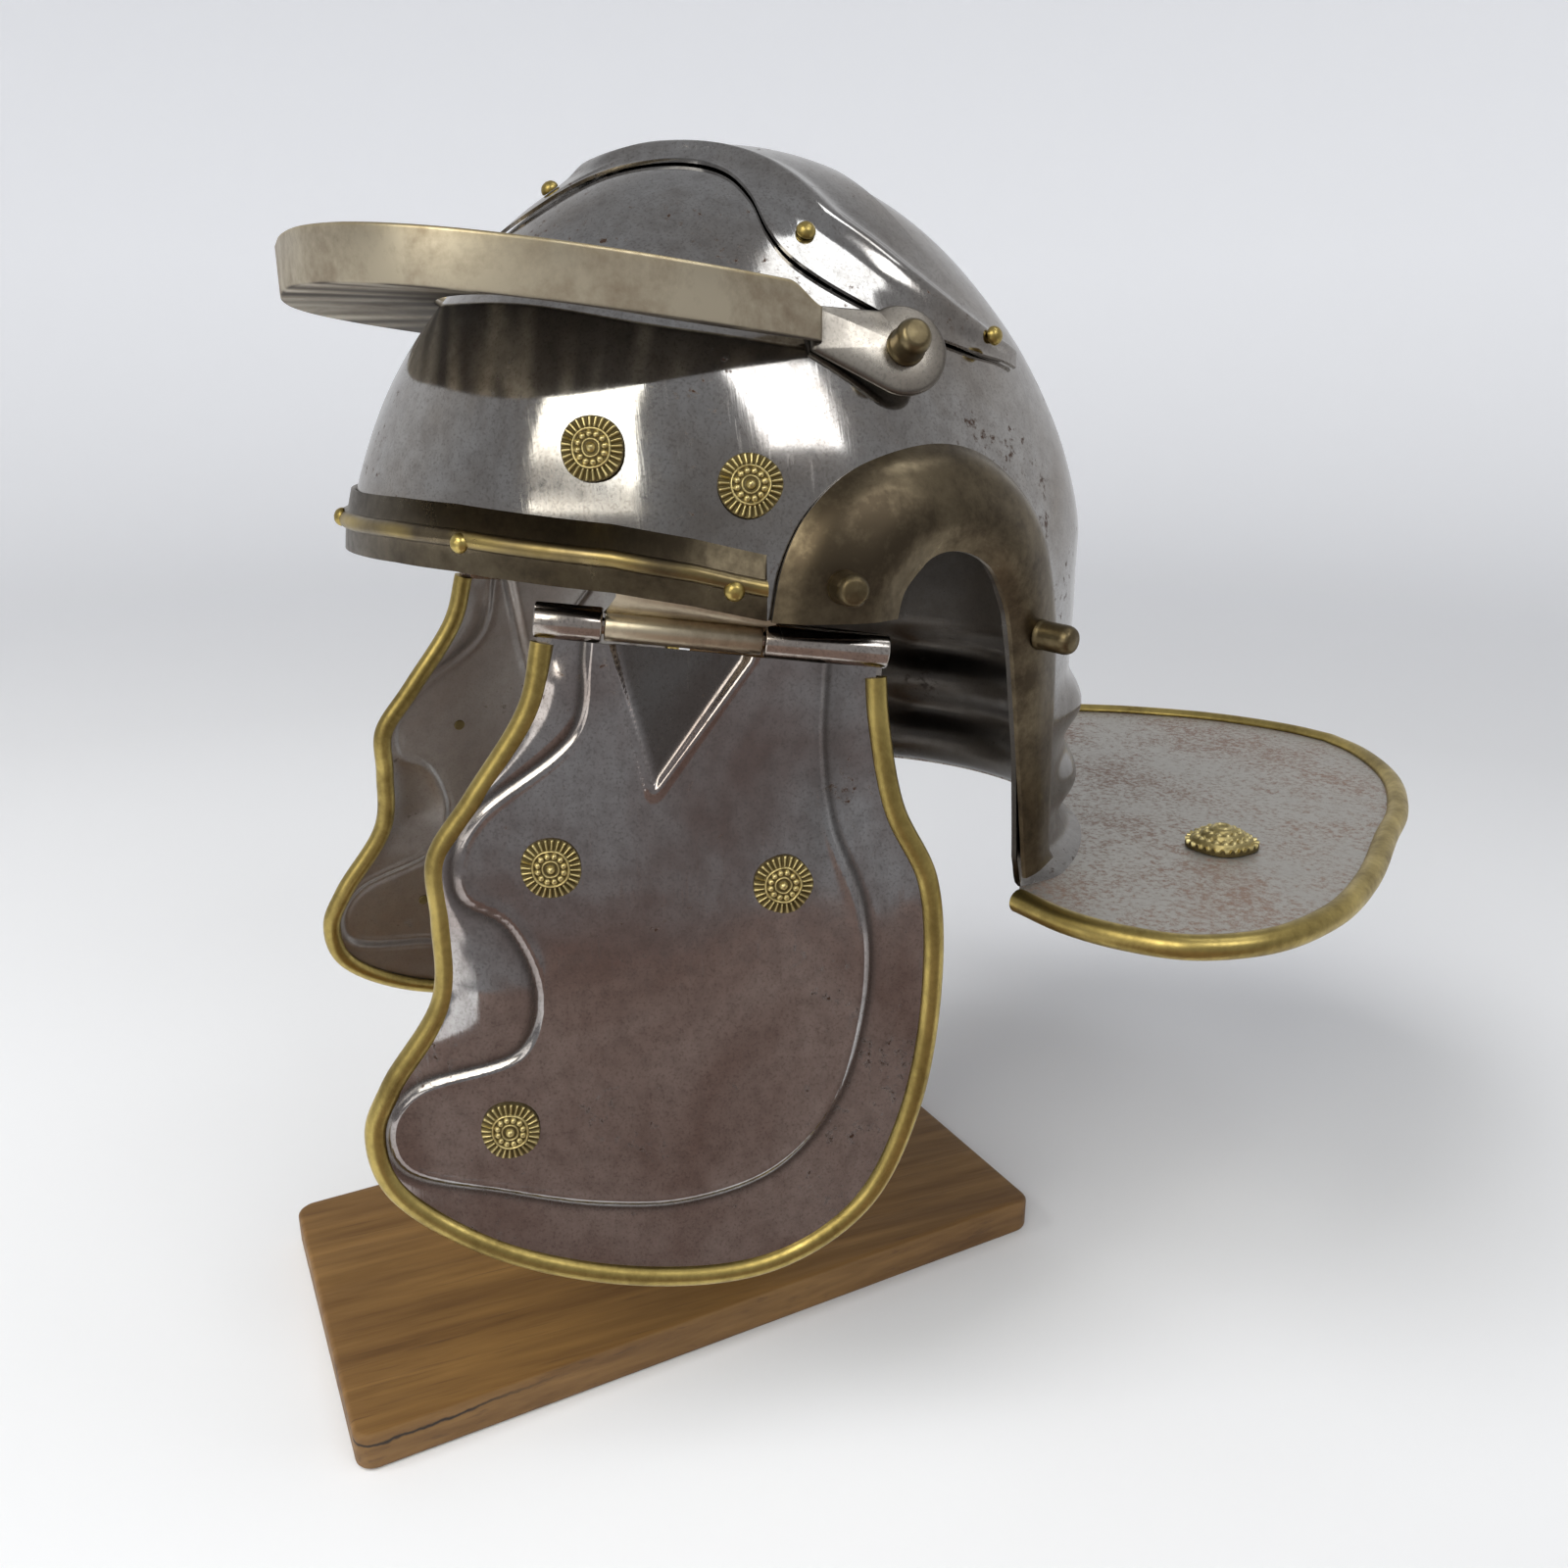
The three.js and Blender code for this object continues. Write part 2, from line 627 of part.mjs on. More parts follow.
function browGuard() {
  const half = spaced(BROW_EDGE.map((p) => new THREE.Vector3(p.x, p.y, 0)), BROW.stations / 2);
  const slope = Math.tan(rad(BROW.riseDeg));
  const outline = [[0, 0], [10, 0], [10, 5], [9, 5], [9, 1], [0, 1]].map(([x, y]) => new THREE.Vector2(x, y));
  const sections = bothSides(half).map((p) => {
    const top = BROW.flangeTop + (BROW.levelY - p.y) * slope;
    const low = top - BROW.flangeHeight;
    const plate = low + BROW.plateThickness;
    const bearing = THREE.MathUtils.radToDeg(
      Math.atan2(p.x / BOWL.halfWidth, (BOWL.centreY - p.y) / BOWL.halfLength));
    const inner = onBowl(bearing, low, BROW.clearance);
    const inward = new THREE.Vector3(inner.x - p.x, inner.y - p.y, 0).normalize();
    const flange = p.clone().addScaledVector(inward, BROW.flangeThickness);
    const at = (plan, z) => new THREE.Vector3(plan.x, plan.y, z);
    return [at(inner, low), at(p, low), at(p, top), at(flange, top), at(flange, plate), at(inner, plate)];
  });
  const lug = browLug();
  return joined([bar(sections, outline), lug, mirrored(lug)]);
}

// Crest plate

function crestPoint(station, across, lift) {
  const index = Math.min(Math.floor(station), CREST_STATIONS.length - 2);
  const part = station - index;
  const [a, b] = [CREST_STATIONS[index], CREST_STATIONS[index + 1]];
  const mix = (key) => THREE.MathUtils.lerp(a[key], b[key], part);
  const share = across < 1 ? across * mix('ridge') : THREE.MathUtils.lerp(mix('ridge'), 1, across - 1);
  const x = THREE.MathUtils.lerp(mix('frontX'), mix('rearX'), share);
  const y = THREE.MathUtils.lerp(mix('frontY'), mix('rearY'), share);
  const ridge = Math.cos(((across - 1) * Math.PI) / 2) ** 2;
  return aboveBowl(x, y, CREST.lift + CREST.ridgeProud * ridge + lift);
}

function crestPlate() {
  const stations = CREST_STATIONS.map((_, i) => i);
  const half = (lift) => stations.map((s) => CREST.across.map((across) => crestPoint(s, across, lift)));
  const whole = (rows) => {
    const right = rows.slice(1).reverse().map((row) => row.map((p) => new THREE.Vector3(-p.x, p.y, p.z)));
    return [...right, ...rows];
  };
  return sheet(whole(half(CREST.thickness)), whole(half(0)));
}

// Brow band

function browBand() {
  const ends = BOWL_EDGE.map((row) => row.bearing).filter((bearing) => bearing < BAND.endBearing);
  const left = [...ends, BAND.endBearing];
  const bearings = [...left.slice(1).map((bearing) => -bearing).reverse(), ...left];
  const face = GAP + BAND.thickness;
  const middle = BAND.height / 2;
  const outline = [
    [0, GAP],
    [0, face],
    [middle - BAND.beadHalf, face],
    [middle, face + BAND.beadProud],
    [middle + BAND.beadHalf, face],
    [BAND.height, face],
    ...[1, 0.75, 0.5, 0.25].map((part) => [BAND.height * part, GAP]),
  ].map(([height, lift]) => new THREE.Vector2(height, lift));
  const sections = bearings.map((bearing) => (
    outline.map((o) => onBowl(bearing, edgeHeight(bearing) + o.x, o.y))));
  return bar(sections, outline);
}

// Ear guards

// A point of the ear guard: `rise` is the share of the station's swell, `lift` is added to it.
function earPoint(station, across, rise, lift) {
  const index = Math.min(Math.floor(station), EAR_STATIONS.length - 2);
  const part = station - index;
  const [a, b] = [EAR_STATIONS[index], EAR_STATIONS[index + 1]];
  const mix = (key) => THREE.MathUtils.lerp(a[key], b[key], part);
  const bearing = THREE.MathUtils.lerp(mix('outerBearing'), mix('innerBearing'), across);
  const z = THREE.MathUtils.lerp(mix('outerZ'), mix('innerZ'), across);
  return onBowl(bearing, z, EAR.lift + mix('proud') * rise + lift);
}

function earGuard() {
  const stations = EAR_STATIONS.map((_, i) => i);
  const face = (lift) => stations.map((s) => (
    EAR_SECTION.map((row) => earPoint(s, row.across, row.rise, lift))));
  return sheet(face(EAR.thickness), face(0));
}

function earPost(post) {
  const lift = GAP + EAR.thickness;
  const step = 0.05;
  const seat = earPoint(post.station, post.across, 1, lift);
  const along = earPoint(post.station + step, post.across, 1, lift).sub(seat);
  const across = earPoint(post.station, post.across + step, 1, lift).sub(seat);
  return stood(turned(POST_TURN, 12), seat, across.cross(along).normalize());
}

// Cheek guards and their hinges, in a flat frame: x runs back along the hinge, y up, z outward

const hingeFrame = (() => {
  const back = HINGE.rear.clone().sub(HINGE.front).normalize();
  const up = HINGE.leanOut.clone().cross(back).normalize();
  const outward = back.clone().cross(up).normalize();
  return new THREE.Matrix4().makeBasis(back, up, outward).setPosition(HINGE.front);
})();

function flatPoints(table) {
  return table.map((row) => new THREE.Vector3(row.back, -row.drop, 0));
}

// The path of the edging's middle, one radius inside the outer edge.
function cheekPath(count) {
  const edge = spaced(flatPoints(CHEEK_EDGE), count);
  const outward = new THREE.Vector3(0, 0, 1);
  return edge.map((p, i) => {
    const along = edge[Math.min(i + 1, count)].clone().sub(edge[Math.max(i - 1, 0)]).normalize();
    const inward = outward.clone().cross(along);
    return p.clone().addScaledVector(inward, CHEEK.rimRadius);
  });
}

function slab(points, depth, z) {
  const shape = new THREE.Shape(points.map((p) => new THREE.Vector2(p.x, p.y)));
  return new THREE.ExtrudeGeometry(shape, { depth, bevelEnabled: false }).translate(0, 0, z);
}

function hingeBar([from, to], radius, segments) {
  const length = to - from;
  const cylinder = new THREE.CylinderGeometry(radius, radius, length, segments);
  return cylinder.rotateZ(Math.PI / 2).translate(from + length / 2, 0, 0);
}

function hingeTab([from, to]) {
  const height = CHEEK.topDrop + 2;
  const tab = new THREE.BoxGeometry(to - from, height, CHEEK.plate);
  return tab.translate((from + to) / 2, -height / 2, 0);
}

function cheekGuard() {
  const path = cheekPath(CHEEK.stations);
  const rearTop = path[path.length - 1];
  const plate = [
    new THREE.Vector3(path[0].x, -CHEEK.topDrop, 0),
    ...path.filter((p) => p.y < -CHEEK.topDrop - 1),
    new THREE.Vector3(rearTop.x, -CHEEK.topDrop, 0),
  ];
  const face = CHEEK.plate / 2;
  const panelCurve = spaced(flatPoints(CHEEK_PANEL), 40);
  const bore = hingeBar([-1, HINGE.rearKnuckle[1] + 1], HINGE.boreRadius, 12);
  const knuckles = [HINGE.frontKnuckle, HINGE.rearKnuckle];
  const pieces = [
    slab(plate, CHEEK.plate, -face),
    slab(panelCurve, CHEEK.panelProud + face, 0),
    ...knuckles.map((span) => hingeBar(span, HINGE.knuckleRadius, 14)),
    ...knuckles.map((span) => hingeTab([span[0] + CHEEK.rimRadius, span[1] - CHEEK.rimRadius])),
  ];
  const dent = slab(flatPoints(CHEEK_TRIANGLE), CHEEK.triangleDepth, face + CHEEK.panelProud - CHEEK.triangleDepth);
  return joined(pieces, [bore, dent]).applyMatrix4(hingeFrame);
}

function cheekRim() {
  const path = cheekPath(CHEEK.stations);
  const up = new THREE.Vector3(0, 0, 1);
  return rolledEdging(path, up, CHEEK.rimRadius, CHEEK.plate, 1).applyMatrix4(hingeFrame);
}

function hingeLeaf() {
  const [from, to] = HINGE.leafKnuckle;
  const inside = -(BOWL.wall + 3 * GAP);
  const outline = [[0, 0], [4, 6], [4, 14], [3, 14], [3, 6], [-1, 0]].map(([x, y]) => new THREE.Vector2(x, y));
  const sections = [0, 1 / 3, 2 / 3, 1].map((part) => {
    const axis = new THREE.Vector3(from + (to - from) * part, 0, 0).applyMatrix4(hingeFrame);
    const bearing = THREE.MathUtils.radToDeg(Math.acos((BOWL.centreY - axis.y) / BOWL.halfLength));
    const low = edgeHeight(bearing);
    const strip = (z, depth) => onBowl(bearing, z, inside - depth);
    const out = new THREE.Vector3(1, 0, 0);
    const root = axis.clone().add(new THREE.Vector3(0, 0, HINGE.leafKnuckleRadius * 0.8));
    return [
      root.clone().addScaledVector(out, HINGE.leafThickness / 2),
      strip(low - 1.5, 0),
      strip(low + HINGE.leafHeight, 0),
      strip(low + HINGE.leafHeight, HINGE.leafThickness),
      strip(low, HINGE.leafThickness),
      root.clone().addScaledVector(out, -HINGE.leafThickness / 2),
    ];
  });
  const knuckle = hingeBar(HINGE.leafKnuckle, HINGE.leafKnuckleRadius, 14).applyMatrix4(hingeFrame);
  const bore = hingeBar([from - 1, to + 1], HINGE.boreRadius, 12).applyMatrix4(hingeFrame);
  return joined([bar(sections, outline), knuckle], [bore]);
}

function hingePin() {
  const span = [HINGE.frontKnuckle[0], HINGE.rearKnuckle[1]];
  return weld(hingeBar(span, HINGE.pinRadius, 10).applyMatrix4(hingeFrame));
}

// The right cheek guard hangs a little further out than the left one.
function rightCheek(left) {
  const back = HINGE.rear.clone().sub(HINGE.front).normalize();
  const swing = new THREE.Matrix4().makeRotationAxis(back, -rad(CHEEK.rightSwingDeg));
  const toHinge = new THREE.Matrix4().makeTranslation(HINGE.front);
  const fromHinge = toHinge.clone().invert();
  return mirrored(left.clone().applyMatrix4(toHinge.multiply(swing).multiply(fromHinge)));
}

function cheekRosette(row) {
  const lift = CHEEK.plate / 2 + CHEEK.panelProud + GAP;
  const flat = stood(turned(ROSETTE_TURN, 12), new THREE.Vector3(row.back, -row.drop, lift), new THREE.Vector3(0, 0, 1));
  return flat.applyMatrix4(hingeFrame);
}

// Rosettes and rivets on the bowl

function bowlRosette(row) {
  return stood(turned(ROSETTE_TURN, 12), onBowl(row.bearing, row.z, 2 * GAP), bowlOutward(row.bearing, row.z));
}

function neckRosette() {
  const seat = new THREE.Vector3(NECK_ROSETTE.x, NECK_ROSETTE.y, neckLevel(NECK_ROSETTE.y) + GAP);
  const tilt = rad(NECK.riseDeg);
  return stood(turned(NECK_ROSETTE_TURN, 14), seat, new THREE.Vector3(0, -Math.sin(tilt), Math.cos(tilt)));
}

function bandRivet(row) {
  const lift = 2 * GAP + BAND.thickness + BAND.beadProud;
  return stood(turned(RIVET_TURN, 10), onBowl(row.bearing, row.z, lift), bowlOutward(row.bearing, row.z));
}

function crestRivet(row) {
  const lift = CREST.thickness + 2 * GAP;
  const step = 0.05;
  const seat = crestPoint(row.station, row.across, lift);
  const along = crestPoint(row.station + step, row.across, lift).sub(seat);
  const across = crestPoint(row.station, row.across + step, lift).sub(seat);
  return stood(turned(RIVET_TURN, 10), seat, along.cross(across).normalize());
}

function browRivet() {
  const lift = BROW.lugLift + BROW.lugThickness + GAP;
  const seat = onBowl(BROW.lugBearing, BROW.lugZ).addScaledVector(lugOutward(), lift);
  return stood(turned(LUG_RIVET_TURN, 12), seat, lugOutward());
}

// Stand

function standBase() {
  const [x, y, r] = [STAND.width / 2 - STAND.edgeRound, STAND.length / 2 - STAND.edgeRound, STAND.cornerRadius];
  const board = new THREE.Shape();
  board.absarc(x - r, y - r, r, 0, Math.PI / 2, false);
  board.absarc(r - x, y - r, r, Math.PI / 2, Math.PI, false);
  board.absarc(r - x, r - y, r, Math.PI, 1.5 * Math.PI, false);
  board.absarc(x - r, r - y, r, 1.5 * Math.PI, 2 * Math.PI, false);
  const geometry = new THREE.ExtrudeGeometry(board, {
    depth: STAND.thickness - 2 * STAND.edgeRound,
    bevelSize: STAND.edgeRound,
    bevelThickness: STAND.edgeRound,
    bevelSegments: 2,
    curveSegments: 2,
  });
  return weld(geometry.translate(0, 0, STAND.edgeRound).rotateZ(rad(STAND.turnDeg)));
}

function standPost() {
  const low = STAND.thickness + GAP;
  const top = BOWL.wallTop + BOWL.domeHeight - BOWL.wall - 2 * GAP;
  const profile = [
    [0, low],
    [STAND.postRadius, low],
    [STAND.postRadius, top - STAND.capDrop],
    [STAND.capRadius, top - STAND.capDrop + 8],
    [STAND.capRadius, top - 15],
    [STAND.capRadius * 0.6, top - 5.5],
    [0, top],
  ];
  const upright = turned(profile, 20).rotateX(Math.PI / 2);
  return weld(upright.translate(0, BOWL.centreY, 0));
}

// Assembly

const helmet = new THREE.Group();
helmet.name = 'roman_legionary_helmet';

function add(name, geometry, colour, metalness = 0.9) {
  const material = new THREE.MeshStandardMaterial({ color: colour, metalness, roughness: 0.4 });
  const mesh = new THREE.Mesh(geometry, material);
  mesh.name = name;
  helmet.add(mesh);
}

// A left piece and its mirror image; the side is the last word of the name.
function addPair(name, geometry, colour, toRight = mirrored) {
  add(`${name}_left`, geometry, colour);
  add(`${name}_right`, toRight(geometry), colour);
}

add('stand_base', standBase(), COLOURS.wood, 0);
add('stand_post', standPost(), COLOURS.wood, 0);
add('bowl', bowl(), COLOURS.steel);
add('neck_rim', neckRim(), COLOURS.brass);
add('brow_guard', browGuard(), COLOURS.brownBrass);
addPair('brow_rivet', browRivet(), COLOURS.brass);
add('crest_plate', crestPlate(), COLOURS.steel);
add('crest_rivet_front', crestRivet(CREST_FRONT_RIVET), COLOURS.brass);
CREST_RIVETS.forEach((row) => addPair(`crest_rivet_${row.name}`, crestRivet(row), COLOURS.brass));
add('brow_band', browBand(), COLOURS.brownBrass);
add('band_rivet_front', bandRivet(BAND_FRONT_RIVET), COLOURS.brass);
BAND_RIVETS.forEach((row) => addPair(`band_rivet_${row.name}`, bandRivet(row), COLOURS.brass));
addPair('ear_guard', earGuard(), COLOURS.brownBrass);
EAR_POSTS.forEach((row) => addPair(`ear_post_${row.name}`, earPost(row), COLOURS.brass));
addPair('hinge_leaf', hingeLeaf(), COLOURS.brass);
addPair('hinge_pin', hingePin(), COLOURS.steel);
addPair('cheek_guard', cheekGuard(), COLOURS.steel, rightCheek);
addPair('cheek_rim', cheekRim(), COLOURS.brass, rightCheek);
CHEEK_ROSETTES.forEach((row) => addPair(`cheek_rosette_${row.name}`, cheekRosette(row), COLOURS.brass, rightCheek));
BOWL_ROSETTES.forEach((row) => addPair(`bowl_rosette_${row.name}`, bowlRosette(row), COLOURS.brass));
addPair('neck_rosette', neckRosette(), COLOURS.brass);

export default helmet;
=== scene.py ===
# %% [markdown]
# # A Roman legionary helmet on a wooden stand
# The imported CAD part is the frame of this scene: it says where every piece is and how the
# two cheek guards swing. Here each visible piece is drawn again as a finer surface, in the
# same place, and gets the worn steel, brass and wood of the photographed helmet.
# All shapes are worked out in millimetres and turned into metres when a mesh is made.

import bpy
import numpy as np
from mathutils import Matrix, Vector


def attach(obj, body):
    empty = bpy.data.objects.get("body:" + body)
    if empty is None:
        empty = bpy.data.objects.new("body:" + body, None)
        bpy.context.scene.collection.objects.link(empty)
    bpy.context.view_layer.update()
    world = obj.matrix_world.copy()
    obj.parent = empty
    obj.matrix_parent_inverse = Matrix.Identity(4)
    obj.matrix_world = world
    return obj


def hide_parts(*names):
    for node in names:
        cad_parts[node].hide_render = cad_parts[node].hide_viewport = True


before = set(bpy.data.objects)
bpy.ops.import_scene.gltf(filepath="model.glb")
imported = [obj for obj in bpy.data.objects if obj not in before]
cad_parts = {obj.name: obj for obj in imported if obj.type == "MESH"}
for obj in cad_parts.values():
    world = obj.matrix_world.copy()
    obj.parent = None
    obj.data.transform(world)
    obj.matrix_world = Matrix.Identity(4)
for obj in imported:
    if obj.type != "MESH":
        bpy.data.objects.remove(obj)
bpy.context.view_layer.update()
MM = 0.001
GAP = 0.3
HELMET = "helmet_on_stand"
HELMET_PAIR = (HELMET, HELMET)
CHEEK_PAIR = ("cheek_left", "cheek_right")
print("frame loaded with", len(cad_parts), "nodes")

# %% [markdown]
# ## Small tools for curves
# A smooth curve through a few table rows is a cubic between each pair of rows. The slope at
# a row comes from its two neighbours, and rows that lie far apart get more of the parameter,
# which keeps the curve from swinging out between them.


# %% Curve tools
def unit(vectors):
    """Each vector divided by its own length."""
    return vectors / np.linalg.norm(vectors, axis=-1, keepdims=True)


def smoothstep(value, low, high):
    """Zero up to low, one from high on, and 3t^2 - 2t^3 between them."""
    t = np.clip((value - low) / (high - low), 0, 1)
    return t * t * (3 - 2 * t)


def hermite(table, knots, where):
    """Cubic through the rows of a table: row k belongs to knots[k], slopes are finite differences."""
    table = np.asarray(table, float)
    slopes = np.gradient(table, knots, axis=0)
    row = np.clip(np.searchsorted(knots, where, side="right") - 1, 0, len(knots) - 2)
    step = (knots[row + 1] - knots[row])[..., None]
    t = (where - knots[row])[..., None] / step
    start = (2 * t**3 - 3 * t**2 + 1) * table[row] + (t**3 - 2 * t**2 + t) * step * slopes[row]
    end = (3 * t**2 - 2 * t**3) * table[row + 1] + (t**3 - t**2) * step * slopes[row + 1]
    return start + end


def table_at(table, where):
    """Smooth values of all columns of a table at fractional row numbers."""
    return hermite(table, np.arange(len(table), dtype=float), np.asarray(where, float))


def smooth_path(points, count):
    """Points at even distances along the cubic whose knots are sums of root distances."""
    points = np.asarray(points, float)
    steps = np.sqrt(np.linalg.norm(np.diff(points, axis=0), axis=1))
    knots = np.concatenate([[0], np.cumsum(steps)])
    fine = hermite(points, knots, np.linspace(0, knots[-1], 40 * len(points)))
    return even_path(fine, count)


def even_path(points, count):
    """The same path with its points at even distances."""
    run = np.concatenate([[0], np.cumsum(np.linalg.norm(np.diff(points, axis=0), axis=1))])
    even = np.linspace(0, run[-1], count)
    return np.stack([np.interp(even, run, points[:, k]) for k in range(points.shape[1])], -1)


def mirror(points):
    """The other side of the helmet: x changes sign."""
    return points * np.array([-1.0, 1.0, 1.0])


def both_sides(left):
    """A whole path from its left half, which starts in the middle."""
    return np.concatenate([mirror(left[:0:-1]), left])


# %% [markdown]
# ## Small tools for meshes
# A piece is a list of grids. A grid is an array of points with rows and columns, and each cell
# is one four-sided face. Grids that meet at a sharp edge keep points of their own, so the edge
# stays crisp under smooth shading. The signed volume of all cells tells which way they face:
# if it is negative the whole piece is turned inside out, so every cell is reversed.


# %% Mesh tools
def grid_cells(rows, cols, start):
    """Cell corners (r, c), (r, c+1), (r+1, c+1), (r+1, c) as point numbers."""
    r = np.arange(rows - 1)[:, None] * cols
    c = np.arange(cols - 1)[None, :]
    cells = np.stack([r + c, r + c + 1, r + cols + c + 1, r + cols + c], -1)
    return cells.reshape(-1, 4) + start


def volume_of(points, cells):
    """A sixth of the sum of a . (b x c) over the two triangles of each cell."""
    a, b, c, d = (points[cells[:, k]] for k in range(4))
    first = np.einsum("ij,ij->i", a, np.cross(b, c))
    second = np.einsum("ij,ij->i", a, np.cross(c, d))
    return (first + second).sum() / 6


def make_piece(name, grids, material, body, nodes, shade=None):
    """A mesh object from grids in millimetres; it rides on a body and stands for CAD nodes."""
    starts = np.cumsum([0] + [g.shape[0] * g.shape[1] for g in grids])
    cells = np.concatenate([grid_cells(*g.shape[:2], s) for g, s in zip(grids, starts)])
    points = np.concatenate([g.reshape(-1, 3) for g in grids])
    if volume_of(points, cells) < 0:
        cells = cells[:, ::-1]
    mesh = bpy.data.meshes.new(name)
    mesh.vertices.add(len(points))
    mesh.vertices.foreach_set("co", (points * MM).astype(np.float32).ravel())
    mesh.loops.add(4 * len(cells))
    mesh.loops.foreach_set("vertex_index", cells.astype(np.int32).ravel())
    mesh.polygons.add(len(cells))
    mesh.polygons.foreach_set("loop_start", np.arange(0, 4 * len(cells), 4, dtype=np.int32))
    mesh.update(calc_edges=True)
    mesh.shade_smooth()
    if shade is not None:
        layer = mesh.attributes.new("shade", "FLOAT", "POINT")
        layer.data.foreach_set("value", np.concatenate([s.ravel() for s in shade]).astype(np.float32))
    mesh.materials.append(material)
    piece = bpy.data.objects.new(name, mesh)
    bpy.context.scene.collection.objects.link(piece)
    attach(piece, body)
    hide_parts(*nodes)
    return piece


def place_pair(name, grids, shade, material, bodies, node, to_right=mirror):
    """A left piece and its right counterpart, which stand for the left and the right node."""
    make_piece(f"{name}_left", grids, material, bodies[0], [f"{node}_left"], shade)
    right_grids = [to_right(g) for g in grids]
    make_piece(f"{name}_right", right_grids, material, bodies[1], [f"{node}_right"], shade)


def sheet(outer, inner, closed=False):
    """Sheet metal: an outer grid, an inner grid turned over, and strips along the free edges."""
    grids = [outer, inner[:, ::-1]]
    grids.append(np.stack([inner[0], outer[0]]))
    grids.append(np.stack([outer[-1], inner[-1]]))
    if not closed:
        grids.append(np.stack([inner[:, 0], outer[:, 0]], 1))
        grids.append(np.stack([outer[:, -1], inner[:, -1]], 1))
    return grids


def side_along(path, up):
    """The direction square to the path and to up, at every point."""
    along = unit(np.gradient(path, axis=0))
    return unit(np.cross(along, np.broadcast_to(up, path.shape)))


def disc_axes(outward):
    """Two directions square to outward and to each other."""
    across = unit(np.cross(outward, [0.3, 0.2, 0.9]))
    return across, np.cross(outward, across)


def swept(rings):
    """A bar from its rings (stations, outline, 3): the skin and two flat ends."""
    loop = np.concatenate([rings, rings[:, :1]], 1)
    middle = loop.mean(1, keepdims=True).repeat(loop.shape[1], 1)
    return [loop, np.stack([middle[0], loop[0]]), np.stack([loop[-1], middle[-1]])]


def turned(profile, seat, outward, sides):
    """A lathe form: each (radius, height) of the profile runs once round the axis."""
    profile = np.asarray(profile, float)
    angle = np.linspace(0, 2 * np.pi, sides + 1)
    across, other = disc_axes(outward)
    ring = np.cos(angle)[:, None] * across + np.sin(angle)[:, None] * other
    return [seat + profile[:, :1, None] * ring + profile[:, 1:, None] * outward]


def rounded(corners, radius, steps=5):
    """A turned profile whose inner corners are cut by quadratic curves of the given reach."""
    corners = np.asarray(corners, float)
    t = np.linspace(0, 1, steps)[:, None]
    done = [corners[:1]]
    for before, here, after in zip(corners[:-2], corners[1:-1], corners[2:]):
        reach = min(radius, 0.45 * np.linalg.norm(before - here), 0.45 * np.linalg.norm(after - here))
        start = here + unit(before - here) * reach
        end = here + unit(after - here) * reach
        done.append((1 - t) ** 2 * start + 2 * t * (1 - t) * here + t**2 * end)
    return np.concatenate([*done, corners[-1:]])


def hammered(points, amount, wave, seed):
    """Gentle unevenness of hand-raised metal: a sum of ten seeded sine waves across space."""
    count = 10
    rng = np.random.default_rng(seed)
    directions = unit(rng.normal(size=(count, 3)))
    lengths = wave * rng.uniform(0.6, 1.6, count)
    phases = rng.uniform(0, 2 * np.pi, count)
    waves = np.sin(points @ (directions / lengths[:, None]).T * 2 * np.pi + phases)
    return amount * waves.mean(-1) * np.sqrt(count)


# %% [markdown]
# ## Paint box
# Every finish is a Principled shader fed by noise in the object's own coordinates, so a stain
# stays where it is when a cheek guard swings. The two little classes below only shorten the
# writing: most methods add one node and hand back its output.


# %% Paint box
class Nodes:
    """Short names for the nodes of one tree."""

    def __init__(self, tree):
        self.tree = tree

    def add(self, kind, **settings):
        """A node with its settings; a value that is a socket is linked."""
        node = self.tree.nodes.new(kind)
        for key, value in settings.items():
            self.put(node.inputs[key.replace("_", " ")], value)
        return node

    def put(self, socket, value):
        """Links a socket or sets its value; three numbers become a colour with full alpha."""
        if isinstance(value, bpy.types.NodeSocket):
            self.tree.links.new(value, socket)
        elif socket.type == "RGBA":
            socket.default_value = (*value, 1.0)
        else:
            socket.default_value = value

    def range(self, value, low, high, out_low=0.0, out_high=1.0, smooth=False):
        """The value stretched from low..high to out_low..out_high and clamped."""
        node = self.add("ShaderNodeMapRange", Value=value)
        node.interpolation_type = "SMOOTHSTEP" if smooth else "LINEAR"
        ends = {"From Min": low, "From Max": high, "To Min": out_low, "To Max": out_high}
        for key, number in ends.items():
            node.inputs[key].default_value = number
        return node.outputs["Result"]

    def maths(self, operation, a, b):
        """One sum, product or difference of two values."""
        node = self.add("ShaderNodeMath")
        node.operation = operation
        self.put(node.inputs[0], a)
        self.put(node.inputs[1], b)
        return node.outputs[0]

    def plus(self, value, more, amount):
        """The value plus another one times an amount."""
        return self.maths("ADD", value, self.maths("MULTIPLY", more, amount))

    def vector_maths(self, operation, *vectors):
        """One number from vectors, such as a length or a dot product."""
        node = self.add("ShaderNodeVectorMath")
        node.operation = operation
        for socket, vector in zip(node.inputs, vectors):
            self.put(socket, vector)
        return node.outputs["Value"]

    def mix(self, share, a, b):
        """Colour a where share is 0 and colour b where it is 1."""
        node = self.add("ShaderNodeMix")
        node.data_type = "RGBA"
        self.put(node.inputs["Factor"], share)
        self.put(node.inputs[6], a)
        self.put(node.inputs[7], b)
        return node.outputs[2]


